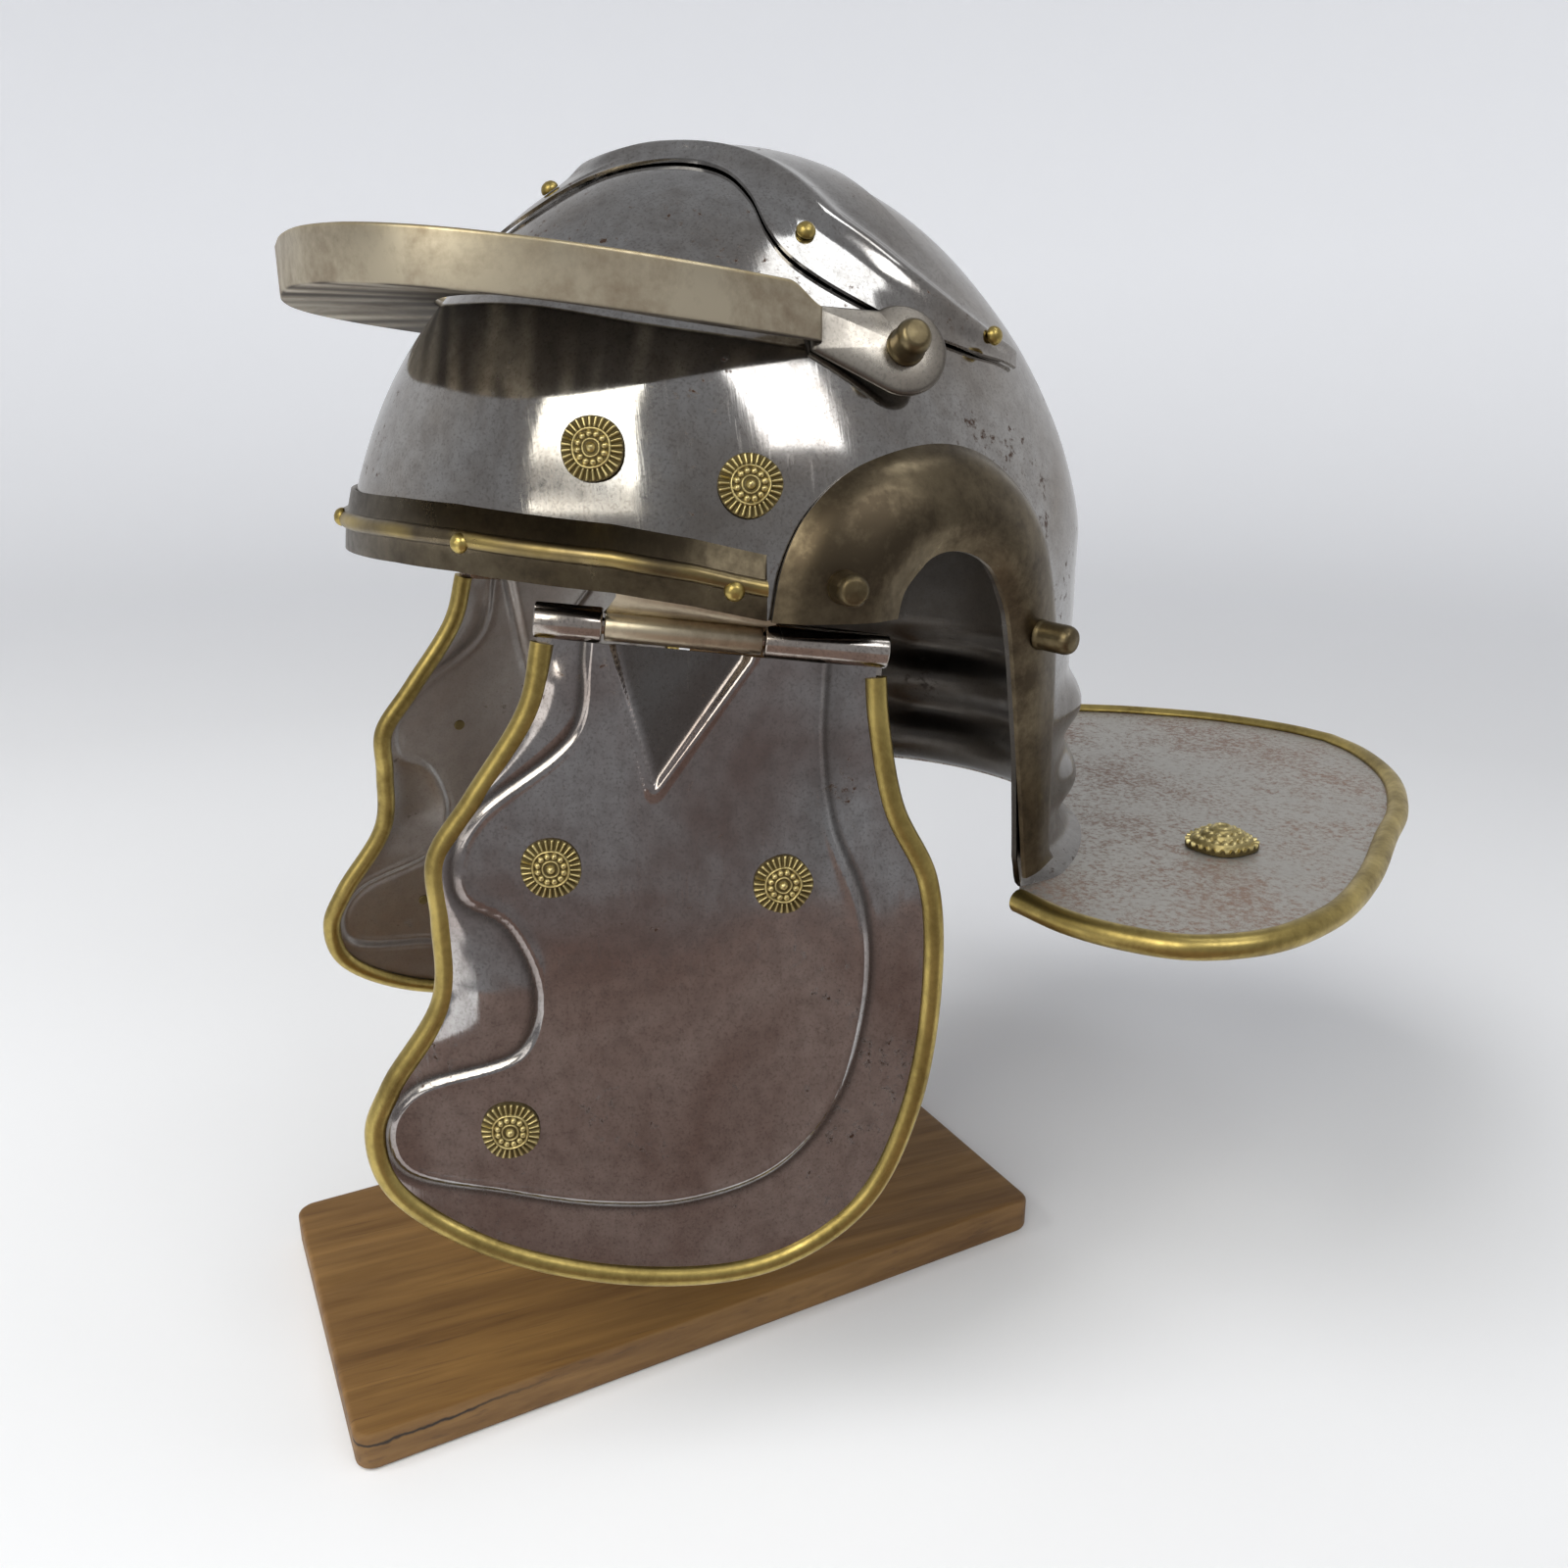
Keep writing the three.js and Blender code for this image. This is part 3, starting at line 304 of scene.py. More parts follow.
class Paint(Nodes):
    """A material with one Principled shader, and noise and painted values to feed it."""

    def __init__(self, name, metallic=1.0, roughness=0.3):
        self.material = bpy.data.materials.new(name)
        self.material.use_nodes = True
        super().__init__(self.material.node_tree)
        self.shader = self.tree.nodes["Principled BSDF"]
        self.shader.inputs["Metallic"].default_value = metallic
        self.shader.inputs["Roughness"].default_value = roughness
        self.place = self.add("ShaderNodeTexCoord").outputs["Object"]

    def stretch(self, scale, turn=(0.0, 0.0, 0.0)):
        """Object coordinates scaled and turned, for streaks and grain."""
        node = self.add("ShaderNodeMapping", Vector=self.place, Scale=scale, Rotation=turn)
        return node.outputs["Vector"]

    def noise(self, scale, detail=5.0, roughness=0.6, distortion=0.0, place=None):
        """Cloudy noise between 0 and 1; scale is in cycles a metre."""
        node = self.add("ShaderNodeTexNoise", Scale=scale, Detail=detail, Roughness=roughness)
        node.inputs["Distortion"].default_value = distortion
        self.put(node.inputs["Vector"], place or self.place)
        return node.outputs["Fac"]

    def axis(self, name):
        """One coordinate of the object's own space, in metres."""
        return self.add("ShaderNodeSeparateXYZ", Vector=self.place).outputs[name]

    def far_off(self):
        """Distance from the object's own origin, in metres."""
        return self.vector_maths("LENGTH", self.place)

    def shade(self):
        """The value painted on the mesh's points when it was made."""
        node = self.add("ShaderNodeAttribute")
        node.attribute_name = "shade"
        return node.outputs["Fac"]

    def bump(self, height, strength, depth):
        """Small relief; depth is the height of the relief in metres."""
        node = self.add("ShaderNodeBump", Height=height, Strength=strength, Distance=depth)
        return node.outputs["Normal"]

    def use(self, **inputs):
        """Feeds the shader and returns the material."""
        for key, value in inputs.items():
            self.put(self.shader.inputs[key.replace("_", " ")], value)
        return self.material


# %% [markdown]
# ## Steel
# The skull is polished iron that has been handled and stored for years. Broad clouds turn the
# colour from cool grey to brown, smears run down it, rust freckles are dull and less metallic,
# and fine scratches run one way. A value painted on the points tarnishes the steel where it is
# above 0, and paints shade too: on the lugs' rims, and as a painted dark reflection and painted
# shade on the cheek guards' embossing. Below 0 it makes the steel a matt grey.


# %% Steel finishes
def steel_paint(name, grey, brown, dull, freckles):
    """Worn steel: two clouded greys, freckles of rust, scratches, and clouded gloss."""
    paint = Paint(name)
    clouds = paint.noise(14.0, detail=4.0, distortion=0.6)
    fine = paint.noise(220.0, detail=6.0, roughness=0.7)
    freckle_field = paint.maths("ADD", paint.noise(420.0, detail=3.0), paint.noise(35.0, detail=3.0))
    freckle = paint.range(freckle_field, freckles, freckles + 0.12)
    scratches = paint.noise(900.0, detail=2.0, place=paint.stretch((0.05, 1.0, 0.08), (0.4, 0.2, 0.6)))
    scratched = paint.range(scratches, 0.62, 0.72)
    base = paint.mix(paint.range(clouds, 0.36, 0.68), grey, brown)
    smears = paint.noise(60.0, detail=4.0, roughness=0.7, place=paint.stretch((1.0, 1.0, 0.35)))
    base = paint.mix(paint.range(smears, 0.48, 0.72, 0.0, 0.45), base, brown)
    base = paint.mix(paint.range(fine, 0.42, 0.75, 0.0, 0.4), base, (0.13, 0.11, 0.10))
    specks = paint.noise(1300.0, detail=2.0)
    base = paint.mix(paint.range(specks, 0.52, 0.68, 0.0, 0.4), base, (0.16, 0.14, 0.125))
    base = paint.mix(freckle, base, (0.075, 0.042, 0.028))
    # Values above 0 darken and roughen the steel: tarnishing, and painted shade on the lugs and the cheek
    # guards.
    tarnish_and_shade = paint.range(paint.shade(), 0.0, 1.0)
    matte = paint.range(paint.shade(), 0.0, -1.0)
    base = paint.mix(tarnish_and_shade, base, (0.050, 0.043, 0.036))
    base = paint.mix(paint.maths("MULTIPLY", matte, 0.7), base, (0.34, 0.32, 0.285))
    gloss = paint.range(paint.maths("ADD", clouds, fine), 0.7, 1.35, dull, dull + 0.13)
    for mark, roughened in ((scratched, 0.08), (freckle, 0.25), (tarnish_and_shade, 0.22), (matte, 0.36)):
        gloss = paint.plus(gloss, mark, roughened)
    return paint.use(
        Base_Color=base,
        Roughness=gloss,
        Metallic=paint.range(freckle, 0.0, 1.0, 1.0, 0.7),
        Normal=paint.bump(scratches, 0.05, 0.0002),
    )


steel = steel_paint("worn steel", (0.49, 0.485, 0.475), (0.30, 0.265, 0.23), 0.055, 1.20)
cheek_steel = steel_paint("cheek steel", (0.52, 0.51, 0.505), (0.27, 0.205, 0.185), 0.06, 1.22)
knuckle_steel = steel_paint("knuckle steel", (0.62, 0.585, 0.545), (0.44, 0.365, 0.31), 0.13, 1.26)
lug_steel = steel_paint("lug steel", (0.44, 0.41, 0.36), (0.27, 0.23, 0.185), 0.22, 1.28)


def rusty_steel_paint():
    """The neck guard lies flat and holds damp: fine rust covers the steel in a mottled coat."""
    paint = Paint("rust mottled steel")
    patches = paint.noise(26.0, detail=8.0, roughness=0.68)
    grain = paint.noise(480.0, detail=8.0, roughness=0.8)
    mottle = paint.plus(paint.maths("MULTIPLY", patches, 0.55), grain, 1.1)
    coat = paint.range(mottle, 0.80, 0.95)
    base = paint.mix(paint.range(grain, 0.3, 0.7), (0.54, 0.52, 0.48), (0.42, 0.40, 0.365))
    base = paint.mix(coat, base, (0.26, 0.175, 0.135))
    return paint.use(
        Base_Color=base,
        Roughness=paint.range(coat, 0.0, 1.0, 0.42, 0.62),
        Metallic=paint.range(coat, 0.0, 1.0, 0.85, 0.35),
        Normal=paint.bump(grain, 0.25, 0.0002),
    )


rusty_steel = rusty_steel_paint()
print("five steel finishes mixed, from", steel.name, "to", rusty_steel.name)

# %% [markdown]
# ## Brass
# The rolled rims and small rivets are still golden, under a patchy darker coat. The band and the
# ear guards have gone brown, and so have the posts. The brow guard is a paler, tan bronze. The
# cast rosettes carry a painted value: 0 in a recess, 1 on a crest, so dirt and painted shade sit
# in the hollows.


# %% Brass finishes
COAT_DULLER = 0.16


def brass_paint(name, bright, dark, low, high, dull):
    """Bright metal clouded by a darker coat; painted values above 0 are rubbed brass with painted
    highlight, below 0 stains with painted shade.
    """
    paint = Paint(name)
    clouds = paint.noise(38.0, detail=5.0, roughness=0.65, distortion=0.4)
    fine = paint.noise(420.0, detail=5.0, roughness=0.7)
    coat = paint.range(paint.plus(clouds, fine, 0.35), low, high)
    base = paint.mix(coat, bright, dark)
    # Values above 0 paint rubbed brass with a painted highlight (the band's bead, the brow flange's top
    # edge); values below 0 paint stains with painted shade (the brow shelf's underside, the flange's foot).
    base = paint.mix(paint.range(paint.shade(), 0.0, 1.0), base, (0.60, 0.45, 0.15))
    stained_and_shaded = paint.range(paint.shade(), 0.0, -1.0)
    base = paint.mix(stained_and_shaded, base, (0.07, 0.055, 0.04))
    gloss = paint.range(coat, 0.0, 1.0, dull, dull + COAT_DULLER)
    return paint.use(
        Base_Color=base,
        Roughness=paint.plus(gloss, stained_and_shaded, 0.35),
        Metallic=paint.range(stained_and_shaded, 0.0, 1.0, 1.0, 0.1),
        Normal=paint.bump(fine, 0.14, 0.0002),
    )


gold_brass = brass_paint("golden brass", (0.59, 0.455, 0.15), (0.27, 0.20, 0.065), 0.52, 0.86, 0.30)
brown_brass = brass_paint("brown brass", (0.20, 0.16, 0.10), (0.08, 0.061, 0.039), 0.48, 0.80, 0.24)
post_brass = brass_paint("post brass", (0.29, 0.235, 0.13), (0.13, 0.10, 0.055), 0.48, 0.80, 0.28)
tan_bronze = brass_paint("tan bronze", (0.62, 0.545, 0.405), (0.29, 0.225, 0.155), 0.58, 0.92, 0.34)


def rosette_paint():
    """Cast brass: the painted value runs from a dark recess, dirt with painted shade, to a rubbed crest."""
    paint = Paint("cast brass")
    grain = paint.noise(900.0, detail=4.0)
    crest = paint.range(paint.shade(), 0.15, 0.75)
    base = paint.mix(crest, (0.15, 0.115, 0.05), (0.72, 0.60, 0.28))
    return paint.use(
        Base_Color=paint.mix(paint.range(grain, 0.45, 0.75, 0.0, 0.35), base, (0.28, 0.24, 0.12)),
        Roughness=paint.range(crest, 0.0, 1.0, 0.62, 0.34),
        Normal=paint.bump(grain, 0.25, 0.0002),
    )


cast_brass = rosette_paint()
print("five brass finishes mixed, from", gold_brass.name, "to", cast_brass.name)

# %% [markdown]
# ## Wood
# The board is a plain plank. Its grain is noise stretched along the plank, with rings as a
# second, wavy set of stripes, and a thin dark split low in its side near the front end.


# %% Wood finish
STAND = {
    "length": 235.0,
    "width": 119.0,
    "thickness": 12.0,
    "corner": 5.0,
    "edge": 1.6,
    "turn_deg": 5.8,
}


def wood_paint(name, along_y, along_z, split_dark):
    """Noise drawn out along the plank gives the grain; a thin wandering line gives the split."""
    paint = Paint(name, metallic=0.0, roughness=0.5)
    turn = (0.0, 0.0, -np.radians(STAND["turn_deg"]))
    along = paint.stretch((1.0, along_y, along_z), turn)
    grain = paint.noise(170.0, detail=8.0, roughness=0.65, distortion=0.3, place=along)
    rings = paint.noise(42.0, detail=3.0, distortion=1.2, place=along)
    pores = paint.noise(900.0, detail=3.0, place=paint.stretch((1.0, along_y / 2, along_z / 2), turn))
    figure = paint.range(paint.maths("ADD", grain, rings), 0.75, 1.3)
    base = paint.mix(figure, (0.245, 0.130, 0.036), (0.11, 0.052, 0.013))
    base = paint.mix(paint.range(pores, 0.58, 0.72, 0.0, 0.55), base, (0.075, 0.035, 0.012))
    wander = paint.range(paint.noise(45.0, detail=4.0), 0.3, 0.7, 0.0075, 0.0105)
    off_line = paint.maths("ABSOLUTE", paint.maths("SUBTRACT", paint.axis("Z"), wander), 0.0)
    front_end = paint.range(paint.axis("Y"), -0.05, -0.08)
    near_edge = paint.range(paint.axis("X"), 0.02, 0.04, 0.0, split_dark)
    split = paint.maths("MULTIPLY", paint.range(off_line, 0.0002, 0.0008, 1.0, 0.0), front_end)
    base = paint.mix(paint.maths("MULTIPLY", split, near_edge), base, (0.015, 0.008, 0.004))
    return paint.use(
        Base_Color=base,
        Roughness=paint.range(grain, 0.3, 0.7, 0.5, 0.68),
        Normal=paint.bump(pores, 0.2, 0.0003),
    )


wood = wood_paint("plank wood", 0.07, 1.0, 1.0)
post_wood = wood_paint("post wood", 1.0, 0.07, 0.0)
print("wood finishes:", wood.name, post_wood.name)

# %% [markdown]
# ## The skull's surface
# Seen from above the bowl is an ellipse, longer than it is wide. Above the brow its radius
# shrinks as a power of height, which gives the full, slightly flattened crown. At the back the
# wall runs straight down, swells into two hammered ribs and turns out into the neck guard.

# %% Skull dimensions
BOWL = {
    "half_length": 111.5,
    "half_width": 92.8,
    "centre_y": 27.3,
    "wall_top": 247.6,
    "dome_height": 106.5,
    "dome_power": 1.52,
    "wall": 1.6,
    "brow_full": 3.8,
    "full_bearing": (50.0, 30.0),
    "full_heights": (262.0, 297.0, 330.0),
    "crown_from": 335.0,
}
# Lower edge of the bowl: bearing, height.
EDGE_TABLE = np.array([
    (0, 247.5), (12, 247.6), (24, 247.6), (36, 246.9), (48, 245.0), (59, 243.2), (69, 240.0),
    (78, 236.0), (86.5, 235.3), (93.6, 235.2), (94.6, 243.6), (96.4, 248.2), (99.0, 251.8),
    (102.4, 253.2), (106.6, 252.0), (110.6, 247.9), (113.6, 240.8), (116.2, 231.6), (118.2, 216.2),
    (120.9, 190.8), (123.3, 150.5),
])
NECK = {
    "corner_bearing": 123.3,
    "level": 150.0,
    "level_y": 104.0,
    "rise_deg": 1.5,
    "flare": 9.0,
    "flare_fade": (120, 132),
    "rib_fade": (132, 148),
    "rib_half": 11.5,
    "rib_proud": 4.5,
    "rib_heights": (172.0, 196.0),
    "rim_radius": 3.5,
}
# Plan of the neck guard's edge: x, y.
NECK_EDGE = np.array([
    (86, 84), (105, 88), (120, 96), (132, 108), (137.5, 129), (132, 156), (117, 184), (92, 218),
    (75, 241), (48, 266), (19, 281), (0, 285),
], float)


# %% Skull formulas
def neck_level(y):
    """Height of the neck guard's upper face: a plane that rises a little towards the back."""
    return NECK["level"] + (y - NECK["level_y"]) * np.tan(np.radians(NECK["rise_deg"]))


def nape_swell(bearing, z, y):
    """How far the wall stands out: two cosine-squared ribs and a quarter-circle flare at the foot."""
    around = np.abs(bearing)
    ribs = 0.0
    for height in NECK["rib_heights"]:
        offset = np.minimum(np.abs(z - height) / NECK["rib_half"], 1)
        ribs = ribs + NECK["rib_proud"] * np.cos(offset * np.pi / 2) ** 2
    below = NECK["flare"] - np.clip(z - neck_level(y), 0, NECK["flare"])
    flare = NECK["flare"] - np.sqrt(NECK["flare"] ** 2 - below**2)
    return ribs * smoothstep(around, *NECK["rib_fade"]) + flare * smoothstep(around, *NECK["flare_fade"])


def brow_swell(bearing, z):
    """How much fuller the skull is behind the brow guard: a bell round the side times a hump in height."""
    middle, spread = BOWL["full_bearing"]
    low, peak, high = BOWL["full_heights"]
    bell = np.exp(-(((np.abs(bearing) - middle) / spread) ** 2))
    return BOWL["brow_full"] * bell * smoothstep(z, low, peak) * smoothstep(z, high, peak)


def bowl_point(bearing, z):
    """An ellipse scaled by root(1 - rise^power) above the wall's top, swollen at brow and nape."""
    bearing, z = np.broadcast_arrays(np.asarray(bearing, float), np.asarray(z, float))
    s, c = np.sin(np.radians(bearing)), np.cos(np.radians(bearing))
    rise = np.clip((z - BOWL["wall_top"]) / BOWL["dome_height"], 0, 1)
    r = np.sqrt(1 - rise ** BOWL["dome_power"])
    out = unit(np.stack([s / BOWL["half_width"], -c / BOWL["half_length"]], -1))
    wall_y = BOWL["centre_y"] - BOWL["half_length"] * c
    swell = np.where(z <= BOWL["wall_top"], nape_swell(bearing, z, wall_y), brow_swell(bearing, z))
    x = BOWL["half_width"] * r * s + out[..., 0] * swell
    y = BOWL["centre_y"] - BOWL["half_length"] * r * c + out[..., 1] * swell
    return np.stack([x, y, z], -1)


def bowl_outward(bearing, z):
    """The cross product of two small steps, or the gradient of the dome's formula near the crown."""
    p = bowl_point(bearing, z)
    rise = np.clip((p[..., 2] - BOWL["wall_top"]) / BOWL["dome_height"], 0, 1)
    slope = BOWL["dome_power"] * rise ** (BOWL["dome_power"] - 1) / BOWL["dome_height"]
    across = 2 * p[..., 0] / BOWL["half_width"] ** 2
    along = 2 * (p[..., 1] - BOWL["centre_y"]) / BOWL["half_length"] ** 2
    dome = unit(np.stack([across, along, slope], -1))
    step = 0.2
    beside = bowl_point(bearing + step, z) - bowl_point(bearing - step, z)
    up = bowl_point(bearing, p[..., 2] + step) - bowl_point(bearing, p[..., 2] - step)
    on_wall = (p[..., 2] <= BOWL["crown_from"])[..., None]
    square = np.cross(beside, up)
    wall = square / np.maximum(np.linalg.norm(square, axis=-1, keepdims=True), 1e-9)
    return np.where(on_wall, wall, dome)


def on_bowl(bearing, z, lift=0.0):
    """A point of the skull moved outwards by lift."""
    return bowl_point(bearing, z) + bowl_outward(bearing, z) * np.asarray(lift)[..., None]


def above_bowl(x, y, lift):
    """The point of the dome over a plan point, moved outwards by lift."""
    across = x / BOWL["half_width"]
    along = (BOWL["centre_y"] - y) / BOWL["half_length"]
    r2 = np.clip(across**2 + along**2, 0, 1)
    z = BOWL["wall_top"] + BOWL["dome_height"] * (1 - r2) ** (1 / BOWL["dome_power"])
    return on_bowl(np.degrees(np.arctan2(across, along)), z, lift)


def height_at(run):
    """Height from a running value: 0 at the wall's top, 1 at the crown, negative down the wall."""
    dome = np.sin(np.clip(run, 0, 1) * np.pi / 2) ** (2 / BOWL["dome_power"])
    return BOWL["wall_top"] + BOWL["dome_height"] * np.where(run < 0, run, dome)


def run_at(z):
    """The running value of a height: the inverse of height_at."""
    rise = (z - BOWL["wall_top"]) / BOWL["dome_height"]
    return np.where(rise < 0, rise, 2 / np.pi * np.arcsin(np.clip(rise, 0, 1) ** (BOWL["dome_power"] / 2)))


def edge_height(bearing):
    """Height of the bowl's lower edge; behind the corners it dips just under the neck guard's face."""
    free = np.interp(np.abs(bearing), EDGE_TABLE[:, 0], EDGE_TABLE[:, 1])
    wall_y = BOWL["centre_y"] - BOWL["half_length"] * np.cos(np.radians(bearing))
    return np.where(np.abs(bearing) >= NECK["corner_bearing"], neck_level(wall_y) - GAP, free)


neck_plan = smooth_path(NECK_EDGE, 400)
neck_curve = np.column_stack([neck_plan, neck_level(neck_plan[:, 1])])


def neck_edge(bearing):
    """The neck guard's edge point of a bearing: shares of the nape are shares of the edge's length."""
    share = (np.abs(bearing) - NECK["corner_bearing"]) / (180 - NECK["corner_bearing"])
    at = np.clip(share, 0, 1) * (len(neck_curve) - 1)
    x, y, z = (np.interp(at, np.arange(len(neck_curve)), neck_curve[:, k]) for k in range(3))
    return np.stack([x * np.sign(bearing), y, z], -1)


# %% [markdown]
# ## Bowl and neck guard
# The bowl is one sheet of steel raised by hammering. Its grid has a column for every bearing,
# from the lower edge to the crown. The neck guard is the same sheet turned outwards; it is a
# second object here only because its rusty finish is different.

# %% Bowl
left_bearings = np.concatenate([
    *[np.linspace(a, b, 6)[:-1] for a, b in zip(EDGE_TABLE[:-1, 0], EDGE_TABLE[1:, 0])],
    np.linspace(NECK["corner_bearing"], 180, 60),
])
around = np.concatenate([-left_bearings[:0:-1], left_bearings])
BOWL_ROWS = 140
first = run_at(edge_height(around))
runs = first + (1 - first) * np.linspace(0, 0.9995, BOWL_ROWS)[:, None]
bowl_heights = height_at(runs)
skull = bowl_point(around, bowl_heights)
dents = hammered(skull, amount=0.10, wave=30.0, seed=4)
outer = skull + bowl_outward(around, bowl_heights) * dents[..., None]
inner = outer - bowl_outward(around, bowl_heights) * BOWL["wall"]
bowl_grids = sheet(outer, inner, closed=True)
INSIDE_TARNISH = 0.9
NAPE_STAIN = {"dark": 0.42, "bearings": (116, 130), "heights": (225, 180)}
SCUFF = {"dark": 0.3, "bearing": 68, "wide": 6, "z": 262, "tall": 9}
nape_stain = NAPE_STAIN["dark"] * smoothstep(np.abs(around), *NAPE_STAIN["bearings"])
nape_stain = nape_stain * smoothstep(bowl_heights, *NAPE_STAIN["heights"])
beside = (around - SCUFF["bearing"]) / SCUFF["wide"]
above = (bowl_heights - SCUFF["z"]) / SCUFF["tall"]
scuff = SCUFF["dark"] * np.exp(-(beside**2) - above**2)
bowl_shade = [nape_stain + scuff] + [np.full(g.shape[:2], INSIDE_TARNISH) for g in bowl_grids[1:]]
bowl = make_piece("skull_bowl", bowl_grids, steel, HELMET, ["bowl"], bowl_shade)
print("bowl has", len(bowl.data.polygons), "faces")

# %% Neck guard
PLATE_ROWS = 60
nape = np.concatenate([
    np.linspace(NECK["corner_bearing"], 180, 100),
    -np.linspace(180, NECK["corner_bearing"], 100)[1:],
])
FOOT_RISE = 0.4
foot = bowl_point(nape, neck_level(bowl_point(nape, NECK["level"])[..., 1]) + FOOT_RISE)
foot[..., 2] = neck_level(foot[..., 1])
rim_line = neck_edge(nape)
share = np.linspace(0, 1, PLATE_ROWS)[:, None, None]
plate = foot + (rim_line - foot) * share
wobble = hammered(plate, amount=0.18, wave=45.0, seed=9) * np.sin(share[..., 0] * np.pi)
plate = plate + np.array([0, 0, 1.0]) * wobble[..., None]
under = plate - np.array([0, 0, BOWL["wall"]])
neck_guard = make_piece("neck_guard", sheet(plate, under), rusty_steel, HELMET, ["bowl"])
print("neck guard has", len(neck_guard.data.polygons), "faces")

# %% [markdown]
# ## Rolled brass edging
# A strip of brass is folded round the sheet's edge. Its section is a circle with a slot for the
# sheet, carried along the edge.


# %% Rolled edging
def rolled_ring(radius, sheet_thickness, arcs=22):
    """A circle left open by a slot: (out, up) pairs from one lip round to the other."""
    slot = sheet_thickness / 2 + GAP
    lip = np.pi - np.arcsin(slot / radius)
    angle = np.linspace(lip, -lip, arcs)
    arc = np.stack([radius * np.cos(angle), radius * np.sin(angle)], -1)
    return np.concatenate([[[GAP, slot]], arc, [[GAP, -slot]]])


def rolled_edging(path, up, radius, sheet_thickness, sign):
    """The slotted circle at each point of the path; its slot opens towards the sheet."""
    side = side_along(path, up)
    ring = rolled_ring(radius, sheet_thickness)
    out = side[:, None] * (sign * ring[:, :1])
    return swept(path[:, None] + out + up * ring[:, 1:])


neck_tilt = np.radians(NECK["rise_deg"])
neck_up = np.array([0, -np.sin(neck_tilt), np.cos(neck_tilt)])
rim_path = both_sides(neck_curve[::-1]) - neck_up * BOWL["wall"] / 2
rim_path = even_path(rim_path, 320)
rim_grids = rolled_edging(rim_path, neck_up, NECK["rim_radius"], BOWL["wall"], -1)
neck_rim = make_piece("neck_edging", rim_grids, gold_brass, HELMET, ["neck_rim"])
print("neck edging has", len(neck_rim.data.polygons), "faces")

# %% [markdown]
# ## Brow guard
# The bar across the front is an angle section: a flat shelf with an upright flange along its
# outer edge. All its corners are eased. At each end a round lug is riveted to the skull.

# %% Brow guard
BROW = {
    "flange_top": 313.0,
    "level_y": 22.0,
    "rise_deg": 6.0,
    "flange_height": 12.5,
    "flange": 3.0,
    "shelf": 2.0,
    "clearance": 2.5,
    "ease": 0.9,
    "end_taper": 0.45,
    "taper_length": 11.0,
    "nose": 3.0,
    "lug_bearing": 101.0,
    "lug_z": 296.6,
    "lug_radius": 11.4,
    "lug_reach": 23.4,
    "lug_lift": 4.2,
    "lug_thickness": 3.6,
    "lug_dome": 1.2,
    "lug_turn_deg": 7.0,
    "lug_rise_deg": 21.0,
    "neck_half": 5.5,
    "neck_rise": 5.4,
}
# Plan of the bar's outer edge: x, y.
BROW_EDGE = np.array([
    (0, -95.5), (25, -94.5), (46, -90.5), (64, -81.5), (77, -67), (84.5, -49), (87.5, -28),
    (86.5, -6), (83.5, 12), (80.5, 24),
])


def eased_section(width):
    """The angle section at every station: (inward, up) corners cut by short quadratic curves."""
    zero = np.zeros_like(width)
    high, thick, low = BROW["flange_height"], BROW["flange"], BROW["shelf"]
    corners = np.stack([
        np.stack([width, zero], -1),
        np.stack([zero, zero], -1),
        np.stack([zero, zero + high], -1),
        np.stack([zero + thick, zero + high], -1),
        np.stack([zero + thick, zero + low], -1),
        np.stack([width, zero + low], -1),
    ], 1)
    before = unit(np.roll(corners, 1, 1) - corners)
    after = unit(np.roll(corners, -1, 1) - corners)
    t = np.linspace(0, 1, 6)[:, None]
    start = (corners + before * BROW["ease"])[:, :, None]
    end = (corners + after * BROW["ease"])[:, :, None]
    arcs = (1 - t) ** 2 * start + 2 * t * (1 - t) * corners[:, :, None] + t**2 * end
    return arcs.reshape(len(width), -1, 2)


brow_plan = smooth_path(BROW_EDGE, 240)
brow_path = both_sides(np.column_stack([brow_plan, np.zeros(len(brow_plan))]))
brow_top = BROW["flange_top"] + (BROW["level_y"] - brow_path[:, 1]) * np.tan(np.radians(BROW["rise_deg"]))
brow_low = brow_top - BROW["flange_height"]
brow_bearing = np.degrees(np.arctan2(
    brow_path[:, 0] / BOWL["half_width"],
    (BOWL["centre_y"] - brow_path[:, 1]) / BOWL["half_length"],
))
shelf_end = on_bowl(brow_bearing, brow_low, np.full(len(brow_low), BROW["clearance"]))
inward = (shelf_end - brow_path) * np.array([1.0, 1.0, 0.0])
section = eased_section(np.linalg.norm(inward, axis=1))
from_end = np.minimum(np.arange(len(brow_path)), np.arange(len(brow_path))[::-1])
from_end = from_end * np.linalg.norm(brow_path[1] - brow_path[0])
nose_share = np.clip(1 - from_end / BROW["nose"], 0, 1)
nose = 0.9 * BROW["flange"] * (1 - np.sqrt(1 - nose_share**2))
section[..., 0] = np.maximum(section[..., 0], nose[:, None])
brow_rings = brow_path[:, None] + unit(inward)[:, None] * section[..., :1]
taper = 1 - BROW["end_taper"] * smoothstep(from_end, BROW["taper_length"], 0)
flange_rise = np.maximum(section[..., 1] - BROW["shelf"], 0)
brow_rings[..., 2] = brow_low[:, None] + section[..., 1] - flange_rise * (1 - taper[:, None])
brow_grids = swept(brow_rings)


def swept_shade(values):
    """Painted values of a bar's skin and its bare ends, in the order that swept gives."""
    skin = np.concatenate([values, values[:, :1]], 1)
    return [skin, 0 * skin[:2], 0 * skin[:2]]


